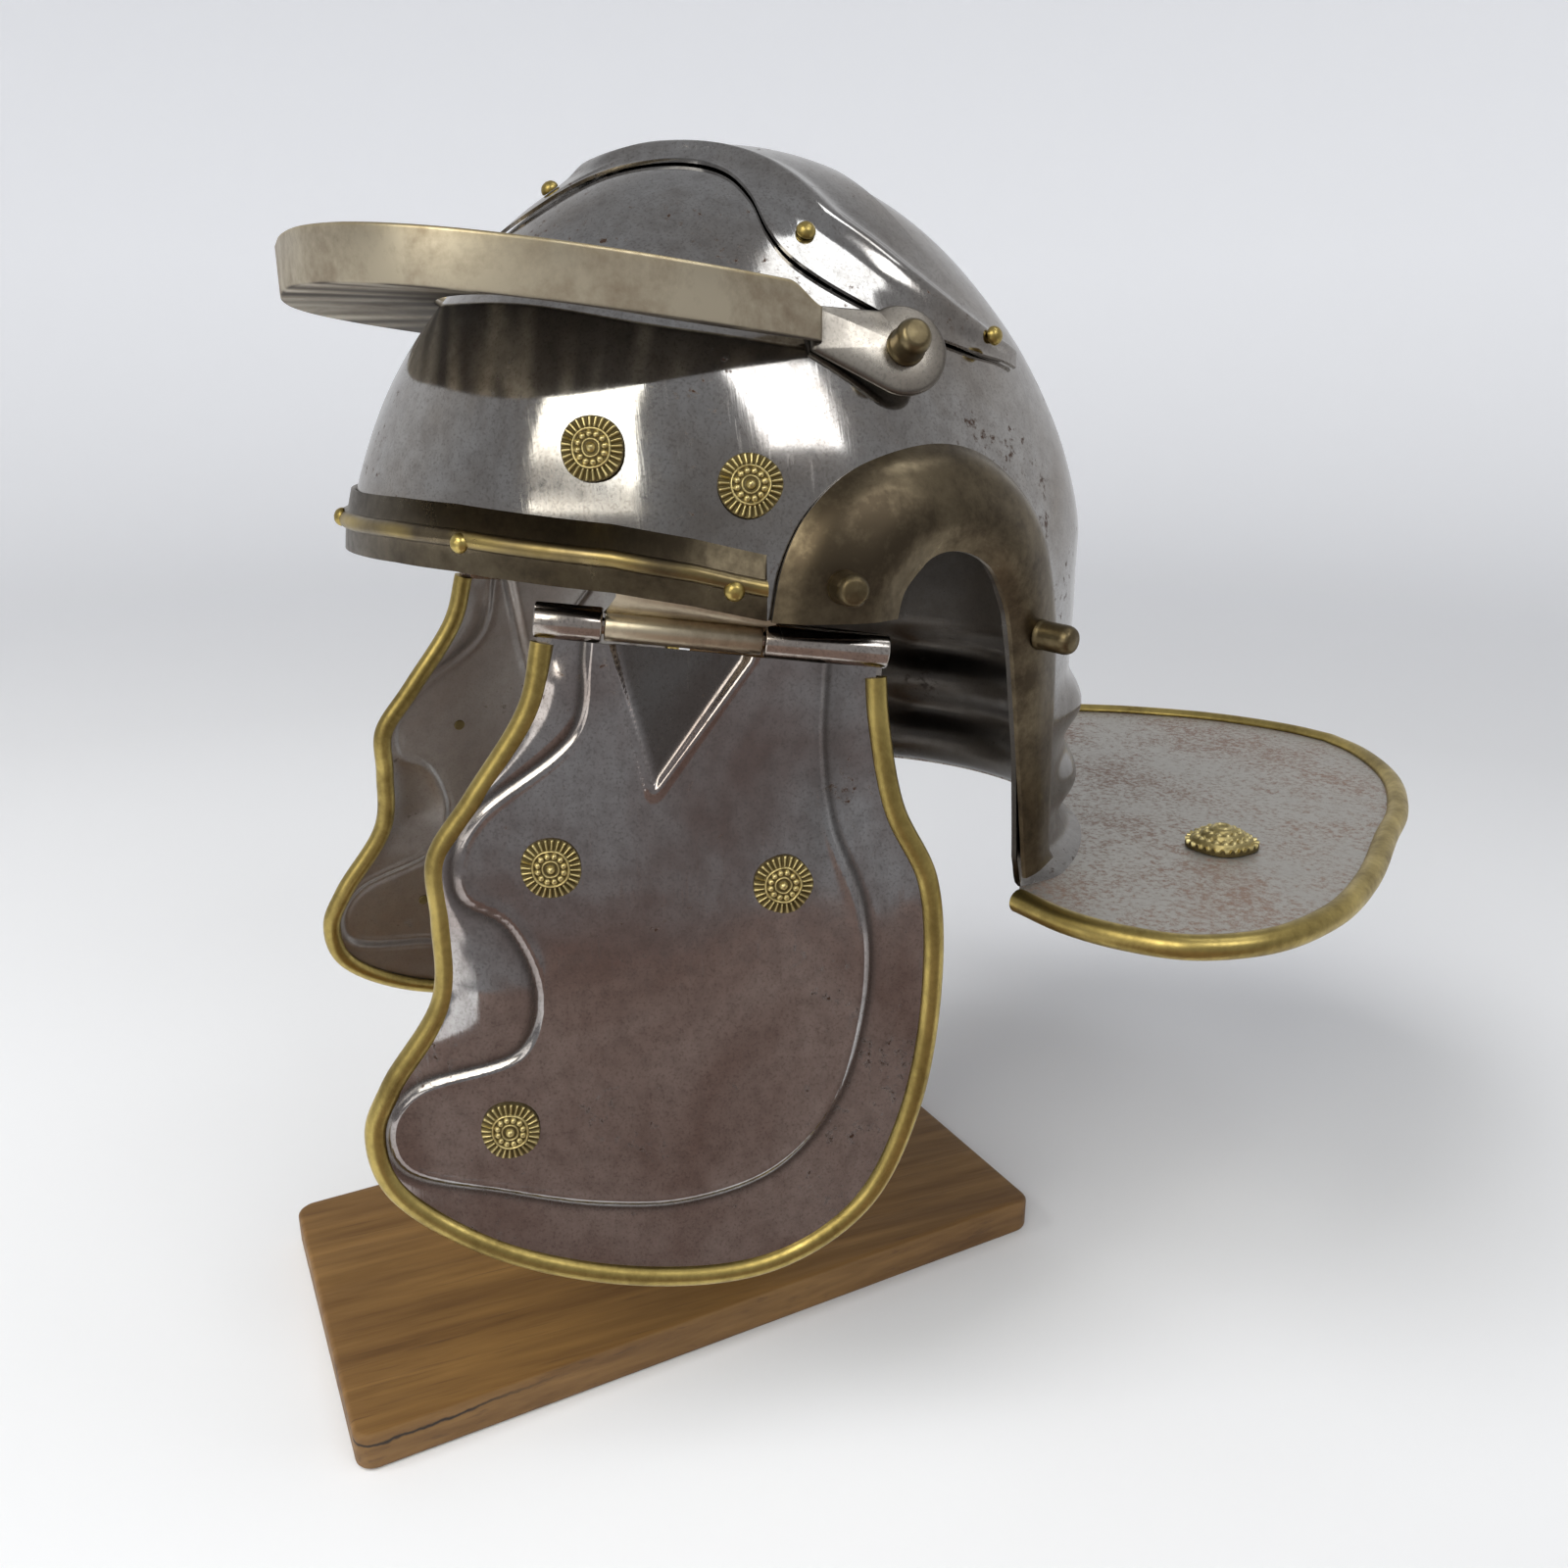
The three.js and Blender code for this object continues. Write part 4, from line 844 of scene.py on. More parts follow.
# The shelf's underside is spotted with rust, more at the sides, and carries painted shade that
# deepens further in towards the bowl; the flange's foot gets a little painted shade, and its top
# edge a painted highlight on rubbed brass.
underneath = smoothstep(section[..., 1], 0.5, 0.1)
at_sides = smoothstep(np.abs(brow_bearing), 30, 60)[:, None]
stain_and_underside_shade = 0.45 + 0.4 * at_sides + 0.5 * smoothstep(section[..., 0], 3.0, 15.0)
stain_and_underside_shade = stain_and_underside_shade + hammered(brow_rings, amount=0.3, wave=13.0, seed=17)
top_edge_highlight = smoothstep(section[..., 1], BROW["flange_height"] - 1.2, BROW["flange_height"] - 0.2)
flange_foot_shade = smoothstep(section[..., 1], 2.5, 0.8) * smoothstep(section[..., 0], 1.5, 0.2)
brow_shade = swept_shade(0.3 * top_edge_highlight - np.clip(underneath * stain_and_underside_shade + 0.35 * flange_foot_shade, 0, 1))


def pillow(outline, bottom, top, ease, dome=0.0):
    """A plate with eased rims: rings of the outline, drawn in at both faces; the top may be domed."""
    face_rings = 8
    turn = np.linspace(0, np.pi / 2, 5)
    upper = np.stack([ease * (1 - np.cos(turn)), top - ease * (1 - np.sin(turn))], -1)
    lower = np.stack([ease * (1 - np.cos(turn[::-1])), bottom + ease * (1 - np.sin(turn[::-1]))], -1)
    levels = np.concatenate([lower, upper])
    reach = np.linalg.norm(outline, axis=1)[:, None]
    loops = [outline * (1 - inset / reach) for inset in levels[:, 0]]
    shares = np.linspace(0, 0.96, face_rings)
    rings = [loops[0] * s for s in shares] + loops + [loops[-1] * s for s in shares[::-1]]
    domed = top + dome * (1 - shares[::-1] ** 2)
    heights = np.concatenate([np.full(face_rings, bottom), levels[:, 1], domed])
    flat = np.stack([np.column_stack([r, np.full(len(r), h)]) for r, h in zip(rings, heights)])
    return np.concatenate([flat, flat[:, :1]], 1)


rise, turn = np.radians(BROW["lug_rise_deg"]), np.radians(BROW["lug_turn_deg"])
lug_out = np.array([np.cos(rise) * np.cos(turn), -np.cos(rise) * np.sin(turn), np.sin(rise)])
lug_forward = unit(np.cross(lug_out, [0, 0, 1.0]))
lug_up = np.cross(lug_out, lug_forward)
lug_up = lug_up * np.sign(lug_up[2])
shoulder = np.pi / 3
arc_angle = np.linspace(shoulder, 2 * np.pi - shoulder, 60)
arc = BROW["lug_radius"] * np.stack([np.cos(arc_angle), np.sin(arc_angle)], -1)
neck_end = np.array([
    (BROW["lug_reach"], BROW["neck_rise"] - BROW["neck_half"]),
    (BROW["lug_reach"], BROW["neck_rise"] + BROW["neck_half"]),
])
lug_outline = even_path(np.concatenate([arc, neck_end, arc[:1]]), 160)[:-1]
lug_rim = BROW["lug_thickness"] - BROW["lug_dome"]
lug_flat = pillow(lug_outline, 0.0, lug_rim, BROW["lug_dome"], BROW["lug_dome"])
lug_seat = bowl_point(BROW["lug_bearing"], BROW["lug_z"]) + lug_out * BROW["lug_lift"]
lug = lug_seat + lug_flat @ np.stack([lug_forward, lug_up, lug_out])
brow_guard = make_piece(
    "brow_bar", brow_grids, tan_bronze, HELMET, ["brow_guard"], brow_shade)
# Painted shade: the lug's underside and rim are darkened, its domed top stays clean.
LUG_RIM_SHADE = 0.55
from_under = np.linspace(0, 1, len(lug))[:, None]
lug_shade = LUG_RIM_SHADE * smoothstep(from_under, 0.85, 0.6) * np.ones(lug.shape[:2])
for side, grid in (("left", lug), ("right", mirror(lug))):
    make_piece(f"brow_lug_{side}", [grid], lug_steel, HELMET, ["brow_guard"], [lug_shade])
print("brow guard has", len(brow_guard.data.polygons), "faces and two lugs")

# %% [markdown]
# ## Crest plate
# A winged plate lies over the crown. Its table lists the front edge, the rear edge and where an
# embossed ridge runs between them; the points are then lifted onto the dome.

# %% Crest plate
CREST = {
    "lift": 0.55,
    "thickness": 0.9,
    "ridge_proud": 3.0,
    "ridge_half": 5.0,
    "swell_half": 15.0,
    "ridge_part": 0.7,
    "hug_length": 8.0,
    "stations": 130,
    "across": 64,
}
# Front edge x and y, share of the way where the ridge runs, rear edge x and y.
CREST_TABLE = np.array([
    (0, -37, 0.30, 0, 50), (7, -31, 0.30, 7, 50.3), (12, -15, 0.23, 14, 51), (19, -3, 0.18, 21, 52.5),
    (27, 8, 0.18, 28, 54.5), (35, 15, 0.22, 35, 57.5), (45, 18, 0.29, 41, 60), (55.5, 19, 0.37, 47, 63.5),
    (62.5, 23.5, 0.45, 51, 68), (68, 35, 0.48, 54, 73), (70.2, 52, 0.5, 56, 79), (66.5, 72, 0.5, 56.8, 85),
    (58.2, 90, 0.5, 57, 90.5),
])


def crest_point(station, across, lift):
    """Across runs 0 at the front edge, 1 on the ridge, 2 at the rear.

    The ridge is a narrow bell on a wide one, and fades out at the front edge.
    """
    row = table_at(CREST_TABLE, station)
    front_x, front_y, ridge, rear_x, rear_y = np.moveaxis(row, -1, 0)
    share = np.where(across < 1, across * ridge, ridge + (1 - ridge) * (across - 1))
    x = front_x + (rear_x - front_x) * share
    y = front_y + (rear_y - front_y) * share
    length = np.hypot(rear_x - front_x, rear_y - front_y)
    offset = (share - ridge) * length
    narrow = np.exp(-((offset / CREST["ridge_half"]) ** 2))
    wide = np.exp(-((offset / CREST["swell_half"]) ** 2))
    proud = CREST["ridge_part"] * narrow + (1 - CREST["ridge_part"]) * wide
    hug = smoothstep(share * length, 0, CREST["hug_length"])
    return above_bowl(x, y, CREST["lift"] + CREST["ridge_proud"] * proud * hug + lift)


crest_station = np.linspace(0, len(CREST_TABLE) - 1, CREST["stations"])[:, None]
crest_across = np.linspace(0, 2, CREST["across"])[None, :]
crest_station, crest_across = np.broadcast_arrays(crest_station, crest_across)
crest_top = both_sides(crest_point(crest_station, crest_across, CREST["thickness"]))
crest_under = both_sides(crest_point(crest_station, crest_across, 0.0))
crest = make_piece("crest_wings", sheet(crest_top, crest_under), steel, HELMET, ["crest_plate"])
print("crest plate has", len(crest.data.polygons), "faces")

# %% [markdown]
# ## Brow band
# A brass band with a half-round bead is wrapped along the front rim. Its section rises from the
# bowl's lower edge and is carried round the front.

# %% Brow band
BAND = {
    "end_bearing": 78.1,
    "height": 15.6,
    "thickness": 1.2,
    "bead_half": 2.2,
    "bead_proud": 2.2,
}
bead_turn = np.linspace(np.pi, 0, 13)
band_face = GAP + BAND["thickness"]
band_outline = np.concatenate([
    [(0, GAP), (0, band_face)],
    np.stack([
        BAND["height"] / 2 + BAND["bead_half"] * np.cos(bead_turn),
        band_face + BAND["bead_proud"] * np.sin(bead_turn),
    ], -1),
    [(BAND["height"], band_face)],
    [(BAND["height"] * part, GAP) for part in (1.0, 0.75, 0.5, 0.25)],
])
band_bearings = np.linspace(-BAND["end_bearing"], BAND["end_bearing"], 240)[:, None]
band_z = edge_height(band_bearings) + band_outline[:, 0]
band_rings = on_bowl(
    np.broadcast_to(band_bearings, band_z.shape), band_z,
    np.broadcast_to(band_outline[:, 1], band_z.shape))
# The bead's crest is painted golden in patches: rubbed brass with a painted highlight.
bead_crest = np.zeros(len(band_outline))
bead_crest[2:2 + len(bead_turn)] = np.sin(bead_turn) ** 2
rubbed_and_highlight_patches = np.clip(0.35 + hammered(band_rings, amount=0.4, wave=26.0, seed=23), 0, 1)
band_shade = swept_shade(bead_crest * rubbed_and_highlight_patches)
brow_band = make_piece(
    "front_band", swept(band_rings), brown_brass, HELMET, ["brow_band"], band_shade)
print("brow band has", len(brow_band.data.polygons), "faces")

# %% [markdown]
# ## Ear guards
# Over each ear a brass band stands out like half a pipe. Each station of its table joins a point
# on the edge of the opening to a point on the skull, and the section swells between them.

# %% Ear guards
EAR = {"thickness": 1.3, "lift": 0.9, "stations": 140, "across": 32}
# Bearing and height at the opening, bearing and height on the skull, how far the band stands out.
EAR_TABLE = np.array([
    (94.8, 235.2, 78.6, 235.7, 5.5), (95.6, 241.2, 80.1, 249.5, 5.5), (97.2, 245.4, 83.8, 261.6, 5.5),
    (99.4, 249.0, 90.8, 271.1, 5.5), (102.4, 250.4, 102.4, 275.8, 5.5), (106, 249.4, 112.2, 272.7, 5.5),
    (109.6, 245.9, 120.2, 261.5, 5.2), (112.2, 239.6, 125.4, 245.1, 4.6), (114.5, 231.0, 128.8, 228, 4.0),
    (116.4, 216.0, 130, 214, 3.5), (119.1, 190.6, 131, 188, 2.9), (123.1, 152.4, 132.5, 152.8, 2.5),
])
# Section of the band: share of the way across, share of the rise.
EAR_SECTION = np.array([(0, 0), (0.14, 0.5), (0.42, 0.93), (0.75, 1.0), (1, 0.4)])


def ear_point(station, across, lift):
    """Across runs 0 on the skull to 1 at the opening; the lift adds the section's smooth rise."""
    inner_bearing, inner_z, outer_bearing, outer_z, proud = np.moveaxis(table_at(EAR_TABLE, station), -1, 0)
    bearing = outer_bearing + (inner_bearing - outer_bearing) * across
    z = outer_z + (inner_z - outer_z) * across
    rise = hermite(EAR_SECTION[:, 1:], EAR_SECTION[:, 0], across)[..., 0]
    return on_bowl(bearing, z, EAR["lift"] + proud * rise + lift)


ear_station = np.linspace(0, len(EAR_TABLE) - 1, EAR["stations"])[:, None]
ear_across = np.linspace(0, 1, EAR["across"])[None, :]
ear_station, ear_across = np.broadcast_arrays(ear_station, ear_across)
ear_outer = ear_point(ear_station, ear_across, EAR["thickness"])
ear_grids = sheet(ear_outer, ear_point(ear_station, ear_across, 0.0))
place_pair("ear_band", ear_grids, None, brown_brass, HELMET_PAIR, "ear_guard")
print("ear guards have", sum(g.shape[0] * g.shape[1] for g in ear_grids), "points each")

# %% [markdown]
# ## Cheek guards
# Each cheek guard is drawn flat, as its maker would cut it: x runs back along the hinge, y is up
# and z is outward. A row of the grid is a level line from the front edge to the rear edge. The
# embossing depends on the signed distance to the outline of the raised panel, so its step has
# the same width everywhere. The flat shape is then stood in the hinge's own frame.

# %% Cheek dimensions
HINGE = {
    "front": np.array([64.5, -46.7, 235.3]),
    "rear": np.array([89.0, 39.5, 225.4]),
    "lean_out": np.array([0.9601, -0.2611, 0.1005]),
    "knuckle_radius": 4.6,
    "leaf_radius": 4.0,
    "bore_radius": 2.4,
    "front_knuckle": (0.0, 16.6),
    "leaf_knuckle": (17.2, 56.6),
    "rear_knuckle": (57.2, 89.0),
    "leaf_thickness": 1.3,
    "leaf_height": 8.0,
}
CHEEK = {
    "plate": 1.5,
    "top_drop": 4.3,
    "rim_radius": 3.0,
    "panel_proud": 1.5,
    "triangle_depth": 1.9,
    "crescent_slope": 0.5,
    "crescent_start": 5.0,
    "crescent_end": 122.0,
    "step_half": 0.9,
    "slope_length": 11.0,
    "bead": 0.3,
    "lip": 0.75,
    "facet_length": 34.0,
    "crown": 1.6,
    "crown_middle": (40.0, 92.0),
    "crown_reach": (76.0, 88.0),
    "rows": 190,
    "columns": 150,
    "right_swing_deg": 6.0,
}
# Outlines on the flat guard: distance back along the hinge, drop below it.
CHEEK_EDGE = np.array([
    (-0.7, 5.2), (-2.6, 20.9), (-14.8, 45.2), (-23.3, 62.1), (-21.4, 79), (-20.1, 99.2), (-31.9, 123.7),
    (-35.7, 138), (-29.4, 155.2), (-0.9, 172.8), (41.4, 180.3), (77.4, 174.5), (101.4, 155.4),
    (112.4, 125.9), (114.4, 87.8), (109.4, 58.3), (98, 39.3), (91.4, 16.9), (89.6, 6.4),
])
CHEEK_PANEL = np.array([
    (13.9, 7), (12.5, 26.7), (-9.9, 49.3), (-14.5, 58), (-13.5, 71), (-1.5, 77.7), (7.6, 95.9),
    (4.2, 112.4), (-22.8, 125.2), (-28.5, 136), (-24.5, 146.5), (2.7, 151.8), (29, 154.4), (50.3, 152.6),
    (73.7, 142.1), (87.9, 121.2), (92.5, 88.5), (88.7, 66.7), (78.5, 46), (73.8, 25.5), (72.7, 7),
])
CHEEK_TRIANGLE = np.array([(18.4, 2), (55.0, 2), (32.6, 39.4)])
hinge_back = unit(HINGE["rear"] - HINGE["front"])
hinge_up = unit(np.cross(HINGE["lean_out"], hinge_back))
hinge_out = np.cross(hinge_back, hinge_up)


# %% Cheek formulas
def in_hinge_frame(flat):
    """Flat (back, up, out) points stood along the left hinge."""
    return HINGE["front"] + flat @ np.stack([hinge_back, hinge_up, hinge_out])


def right_cheek(points):
    """The right guard: the left one swung a little further out about its hinge, then mirrored."""
    angle = -np.radians(CHEEK["right_swing_deg"])
    arm = points - HINGE["front"]
    along = (arm @ hinge_back)[..., None] * hinge_back
    turned_arm = along + (arm - along) * np.cos(angle) + np.cross(hinge_back, arm) * np.sin(angle)
    return mirror(HINGE["front"] + turned_arm)


def signed_distance(points, outline):
    """Distance to a closed outline, positive inside, where a ray crosses an odd number of sides."""
    start = outline
    end = np.roll(outline, -1, 0)
    side = end - start
    arm = points[:, None] - start
    share = np.clip((arm * side).sum(-1) / (side**2).sum(-1), 0, 1)
    distance = np.linalg.norm(arm - share[..., None] * side, axis=-1).min(1)
    above = (start[:, 1] > points[:, None, 1]) != (end[:, 1] > points[:, None, 1])
    with np.errstate(divide="ignore", invalid="ignore"):
        cut = start[:, 0] + (points[:, None, 1] - start[:, 1]) * side[:, 0] / side[:, 1]
    odd = (above & (points[:, None, 0] < cut)).sum(1) % 2 == 1
    return np.where(odd, distance, -distance)


cheek_edge = smooth_path(CHEEK_EDGE, 400)
cheek_along = unit(np.gradient(cheek_edge, axis=0))
cheek_inward = np.stack([cheek_along[:, 1], -cheek_along[:, 0]], -1)
cheek_path = cheek_edge + cheek_inward * CHEEK["rim_radius"]
panel_outline = np.concatenate([smooth_path(CHEEK_PANEL, 160), [(72.7, -6), (13.9, -6)]])


def cheek_relief(back, drop):
    """Height of the outer face over the flat plate.

    A raised panel has a crisp, beaded edge and a long slope outside it. A triangle with a lip is
    sunk at the top, the front edge swells between panel and rim, and the whole is gently crowned.
    """
    spots = np.stack([np.ravel(back), np.ravel(drop)], -1)
    panel = signed_distance(spots, panel_outline)
    triangle = signed_distance(spots, CHEEK_TRIANGLE)
    half = CHEEK["step_half"]
    crisp = 0.5 * smoothstep(panel, -half, half) + 0.5 * smoothstep(panel, -CHEEK["slope_length"], half)
    step = CHEEK["panel_proud"] * crisp
    bead = np.exp(-(((panel - half) / 1.3) ** 2)) - np.exp(-(((panel + 1.7) / 0.9) ** 2))
    bead = CHEEK["bead"] * bead
    from_tip = (CHEEK_TRIANGLE[2, 1] - spots[:, 1]) / CHEEK["facet_length"]
    facet = 0.45 + 0.55 * np.clip(from_tip, 0, 1)
    sunk = CHEEK["triangle_depth"] * facet * smoothstep(triangle, -half, half)
    lip = CHEEK["lip"] * np.exp(-(((triangle + half + 0.3) / 1.2) ** 2))
    rim = np.abs(signed_distance(spots, cheek_path[::3]))
    outside = np.clip(-panel, 0, None)
    start, end = CHEEK["crescent_start"], CHEEK["crescent_end"]
    front = smoothstep(spots[:, 0], 24, 16) * smoothstep(spots[:, 1], end, end - 26)
    front = front * smoothstep(spots[:, 1], start, start + 12)
    swell = CHEEK["crescent_slope"] * outside * rim / np.maximum(outside + rim, 0.1) * front
    off_middle = (spots - CHEEK["crown_middle"]) / CHEEK["crown_reach"]
    crown = CHEEK["crown"] * np.clip(1 - off_middle**2, 0, 1).prod(-1)
    return (step + bead - sunk + lip + swell + crown).reshape(np.shape(back))


lowest = int(np.argmax(cheek_path[:, 1]))
front_edge, rear_edge = cheek_path[: lowest + 1], cheek_path[lowest:][::-1]
row_share = np.sin(np.linspace(0, np.pi / 2, CHEEK["rows"]))
row_drop = CHEEK["top_drop"] + (cheek_path[lowest, 1] - CHEEK["top_drop"]) * row_share
front_back = np.interp(row_drop, front_edge[:, 1], front_edge[:, 0])
rear_back = np.interp(row_drop, rear_edge[:, 1], rear_edge[:, 0])
column_share = np.linspace(0, 1, CHEEK["columns"])
cheek_back = front_back[:, None] + (rear_back - front_back)[:, None] * column_share
cheek_drop = np.broadcast_to(row_drop[:, None], cheek_back.shape)
relief = cheek_relief(cheek_back, cheek_drop)
cheek_flat = np.stack([cheek_back, cheek_drop, 0 * relief], -1)
cheek_wave = hammered(cheek_flat, amount=0.07, wave=36.0, seed=12)
outer_face = CHEEK["plate"] / 2 + relief + cheek_wave
cheek_outer = np.stack([cheek_back, -cheek_drop, outer_face], -1)
cheek_inner = np.stack([cheek_back, -cheek_drop, outer_face - CHEEK["plate"]], -1)
cheek_sheet = [in_hinge_frame(g) for g in sheet(cheek_outer, cheek_inner)]
cheek_spots = np.stack([cheek_back.ravel(), cheek_drop.ravel()], -1)
# Painted on the outer face: a painted dark reflection in the sunk triangle, painted shade in a thin line at
# the foot of the panel's step, and real brown staining that runs down at the rear top.
in_triangle = smoothstep(signed_distance(cheek_spots, CHEEK_TRIANGLE), -0.5, 2.5)
by_step = np.exp(-(((signed_distance(cheek_spots, panel_outline) + 1.6) / 1.2) ** 2))
streak = np.exp(-(((cheek_spots[:, 0] - 76) / 5) ** 2)) * smoothstep(cheek_spots[:, 1], 75, 40)
stain_reflection_and_shade = np.maximum(0.7 * in_triangle, 0.7 * by_step)
stain_reflection_and_shade = np.maximum(stain_reflection_and_shade, 0.3 * streak).reshape(cheek_back.shape)
MATT_INSIDE = -0.7
cheek_shade = [stain_reflection_and_shade] + [np.full(g.shape[:2], MATT_INSIDE) for g in cheek_sheet[1:]]
print("cheek sheet has", sum(g.shape[0] * g.shape[1] for g in cheek_sheet), "points")


# %% [markdown]
# ## Hinges
# The guard's top is rolled into two knuckles and the brass leaf on the bowl into a third, with
# a pin through all of them. A knuckle is a tube: a closed section turned about the hinge line.


# %% Hinge knuckles
def knuckle(span, radius):
    """A tube about the hinge line with eased ends; a slanting step in it is the rolled sheet's edge."""
    ease, nick, bore = 0.5, 0.15, HINGE["bore_radius"]
    start, end = span
    section = np.array([
        (bore, start), (radius - ease, start), (radius - nick, start + nick), (radius, start + ease),
        (radius, (start + end) / 2), (radius, end - ease), (radius - nick, end - nick),
        (radius - ease, end), (bore, end), (bore, start),
    ])
    angle = np.linspace(0, 2 * np.pi, 97)
    seam = 0.9 + 0.05 * (section[:, 1:] - start)
    wound = 0.5 * (((angle - seam) / (2 * np.pi)) % 1.0) * (section[:, :1] > bore)
    across = (section[:, :1] - wound) * np.cos(angle)
    up = (section[:, :1] - wound) * np.sin(angle)
    back = np.broadcast_to(section[:, 1:], across.shape)
    return in_hinge_frame(np.stack([back, up, across], -1))


def tab(span):
    """The short strip between a knuckle and the plate."""
    back = np.linspace(span[0] + 1.0, span[1] - 1.0, 20)[None, :]
    up = np.linspace(-CHEEK["top_drop"] - 2.0, -HINGE["bore_radius"] - 0.8, 8)[:, None]
    back, up = np.broadcast_arrays(back, up)
    face = np.full(back.shape, CHEEK["plate"] / 2)
    strip = sheet(np.stack([back, up, face], -1), np.stack([back, up, -face], -1))
    return [in_hinge_frame(g) for g in strip]


cheek_spans = (HINGE["front_knuckle"], HINGE["rear_knuckle"])
knuckles = [knuckle(span, HINGE["knuckle_radius"]) for span in cheek_spans]
tabs = [grid for span in cheek_spans for grid in tab(span)]
rim_flat = np.column_stack([cheek_path[:, 0], -cheek_path[:, 1], 0 * cheek_path[:, 0]])
rim_flat = even_path(rim_flat, 360)
cheek_rim = rolled_edging(rim_flat, np.array([0, 0, 1.0]), CHEEK["rim_radius"], CHEEK["plate"], 1)
cheek_rim = [in_hinge_frame(g) for g in cheek_rim]
for name, grids, shade, material, slot, node in (
    ("cheek_sheet", cheek_sheet, cheek_shade, cheek_steel, "steel", "cheek_guard"),
    ("cheek_knuckles", knuckles + tabs, None, knuckle_steel, "steel", "cheek_guard"),
    ("cheek_edging", cheek_rim, None, gold_brass, "brass", "cheek_rim"),
):
    place_pair(name, grids, shade, material, CHEEK_PAIR, node, right_cheek)
print("two cheek guards with knuckles and edging")

# %% Hinge leaf
LEAF_STATIONS = 24
leaf_span = HINGE["leaf_knuckle"]
on_axis = np.zeros(LEAF_STATIONS)
leaf_axis = in_hinge_frame(np.stack([np.linspace(*leaf_span, LEAF_STATIONS), on_axis, on_axis], -1))
leaf_bearing = np.degrees(np.arccos((BOWL["centre_y"] - leaf_axis[:, 1]) / BOWL["half_length"]))
leaf_low = edge_height(leaf_bearing)
inside = -(BOWL["wall"] + 3 * GAP)


def leaf_strip(depth):
    """One face of the leaf: from the top of its knuckle to the inside of the bowl's edge."""
    out = np.array([HINGE["leaf_thickness"] / 2 - depth, 0, HINGE["leaf_radius"] * 0.8])
    lift = np.full(LEAF_STATIONS, inside - depth)
    rows = [leaf_axis + out]
    rows += [on_bowl(leaf_bearing, leaf_low + rise, lift) for rise in (-1.5, 2.0, HINGE["leaf_height"])]
    return np.stack(rows)


leaf_grids = sheet(leaf_strip(0.0), leaf_strip(HINGE["leaf_thickness"]))
leaf_grids.append(knuckle(leaf_span, HINGE["leaf_radius"]))
place_pair("hinge_strip", leaf_grids, None, tan_bronze, HELMET_PAIR, "hinge_leaf")
print("hinge leaves made")

# %% [markdown]
# ## Rosettes
# The rosettes are small brass castings. Each is a height over a disc: a sloping skirt cut by
# radial ribs, a raised ring, a circle of beads, and a bead in the middle.


# %% Rosette castings
def bead(distance, size):
    """A hemisphere's height over its own centre distance, as a share of its size."""
    return size * np.sqrt(np.clip(1 - (distance / size) ** 2, 0, None))


def bead_ring(r, angle, ring_radius, count, size):
    """Beads spaced evenly on a circle: each point looks at the nearest bead only."""
    step = 2 * np.pi / count
    turn = (angle + step / 2) % step - step / 2
    gap = np.sqrt(np.clip(r**2 + ring_radius**2 - 2 * r * ring_radius * np.cos(turn), 0, None))
    return bead(gap, size)


def small_rosette(r, angle):
    """A skirt of 28 ribs, a ring at 0.6, twelve beads at 0.44, an inner ring and a middle bead."""
    slope = 0.9 + 1.1 * (1 - r)
    skirt = smoothstep(r, 0.64, 0.68) * smoothstep(r, 1.02, 0.95)
    ribs = 0.75 * np.clip(np.cos(28 * angle), -0.3, 1) * skirt
    ring = 0.65 * np.exp(-(((r - 0.60) / 0.035) ** 2))
    beads = 7.0 * bead_ring(r, angle, 0.44, 12, 0.105)
    inner = 0.45 * np.exp(-(((r - 0.27) / 0.03) ** 2))
    middle = 7.5 * bead(r, 0.15)
    return slope, ribs + ring + beads + inner + middle


def neck_rosette(r, angle):
    """A beehive of steps: 24 teeth at the foot, beads on two tiers and a ring on the flat top."""
    slope = 1.2
    for rise, outside, inside_step in ((1.9, 0.90, 0.80), (1.7, 0.64, 0.55), (1.1, 0.40, 0.32)):
        slope = slope + rise * smoothstep(r, outside, inside_step)
    teeth = 1.1 * np.clip(np.cos(24 * angle), -0.2, 1) * smoothstep(r, 0.86, 0.9)
    tier = 8.0 * bead_ring(r, angle, 0.70, 18, 0.10) + 8.0 * bead_ring(r, angle, 0.46, 12, 0.09)
    top = 0.7 * np.exp(-(((r - 0.22) / 0.04) ** 2))
    return slope, teeth + tier + top


def casting(form, radius, seat, outward, rows, sides, seed, rubbed=0.0):
    """The form's height on polar rows from the rim to the middle; rubbed lightens the dirt and painted
    shade of its hollows too.
    """
    angle = np.linspace(0, 2 * np.pi, sides + 1)[None, :]
    share = np.linspace(1, 0, rows)[:, None]
    share, angle = np.broadcast_arrays(share, angle)
    slope, ornament = form(share, angle)
    rng = np.random.default_rng(seed)
    lobes = rng.uniform(-0.02, 0.02, 4)
    uneven = 1 + sum(lobe * np.sin((k + 2) * angle + 5 * lobe) for k, lobe in enumerate(lobes))
    height = slope + ornament
    across, other = disc_axes(outward)
    flat = radius * (share * uneven)[..., None]
    spread = flat * (np.cos(angle)[..., None] * across + np.sin(angle)[..., None] * other)
    face = seat + spread + height[..., None] * outward
    skirt = np.stack([seat + spread[0], face[0]])
    base = np.stack([np.broadcast_to(seat, spread[0].shape), seat + spread[0]])
    # Painted value: high on crests, low in hollows, where dirt and painted shade darken the brass.
    crests = rubbed + (1 - rubbed) * np.clip(ornament / 0.6, 0, 1)
    shade = [np.zeros((2, sides + 1)), np.zeros((2, sides + 1)), crests]
    return [base, skirt, face], shade


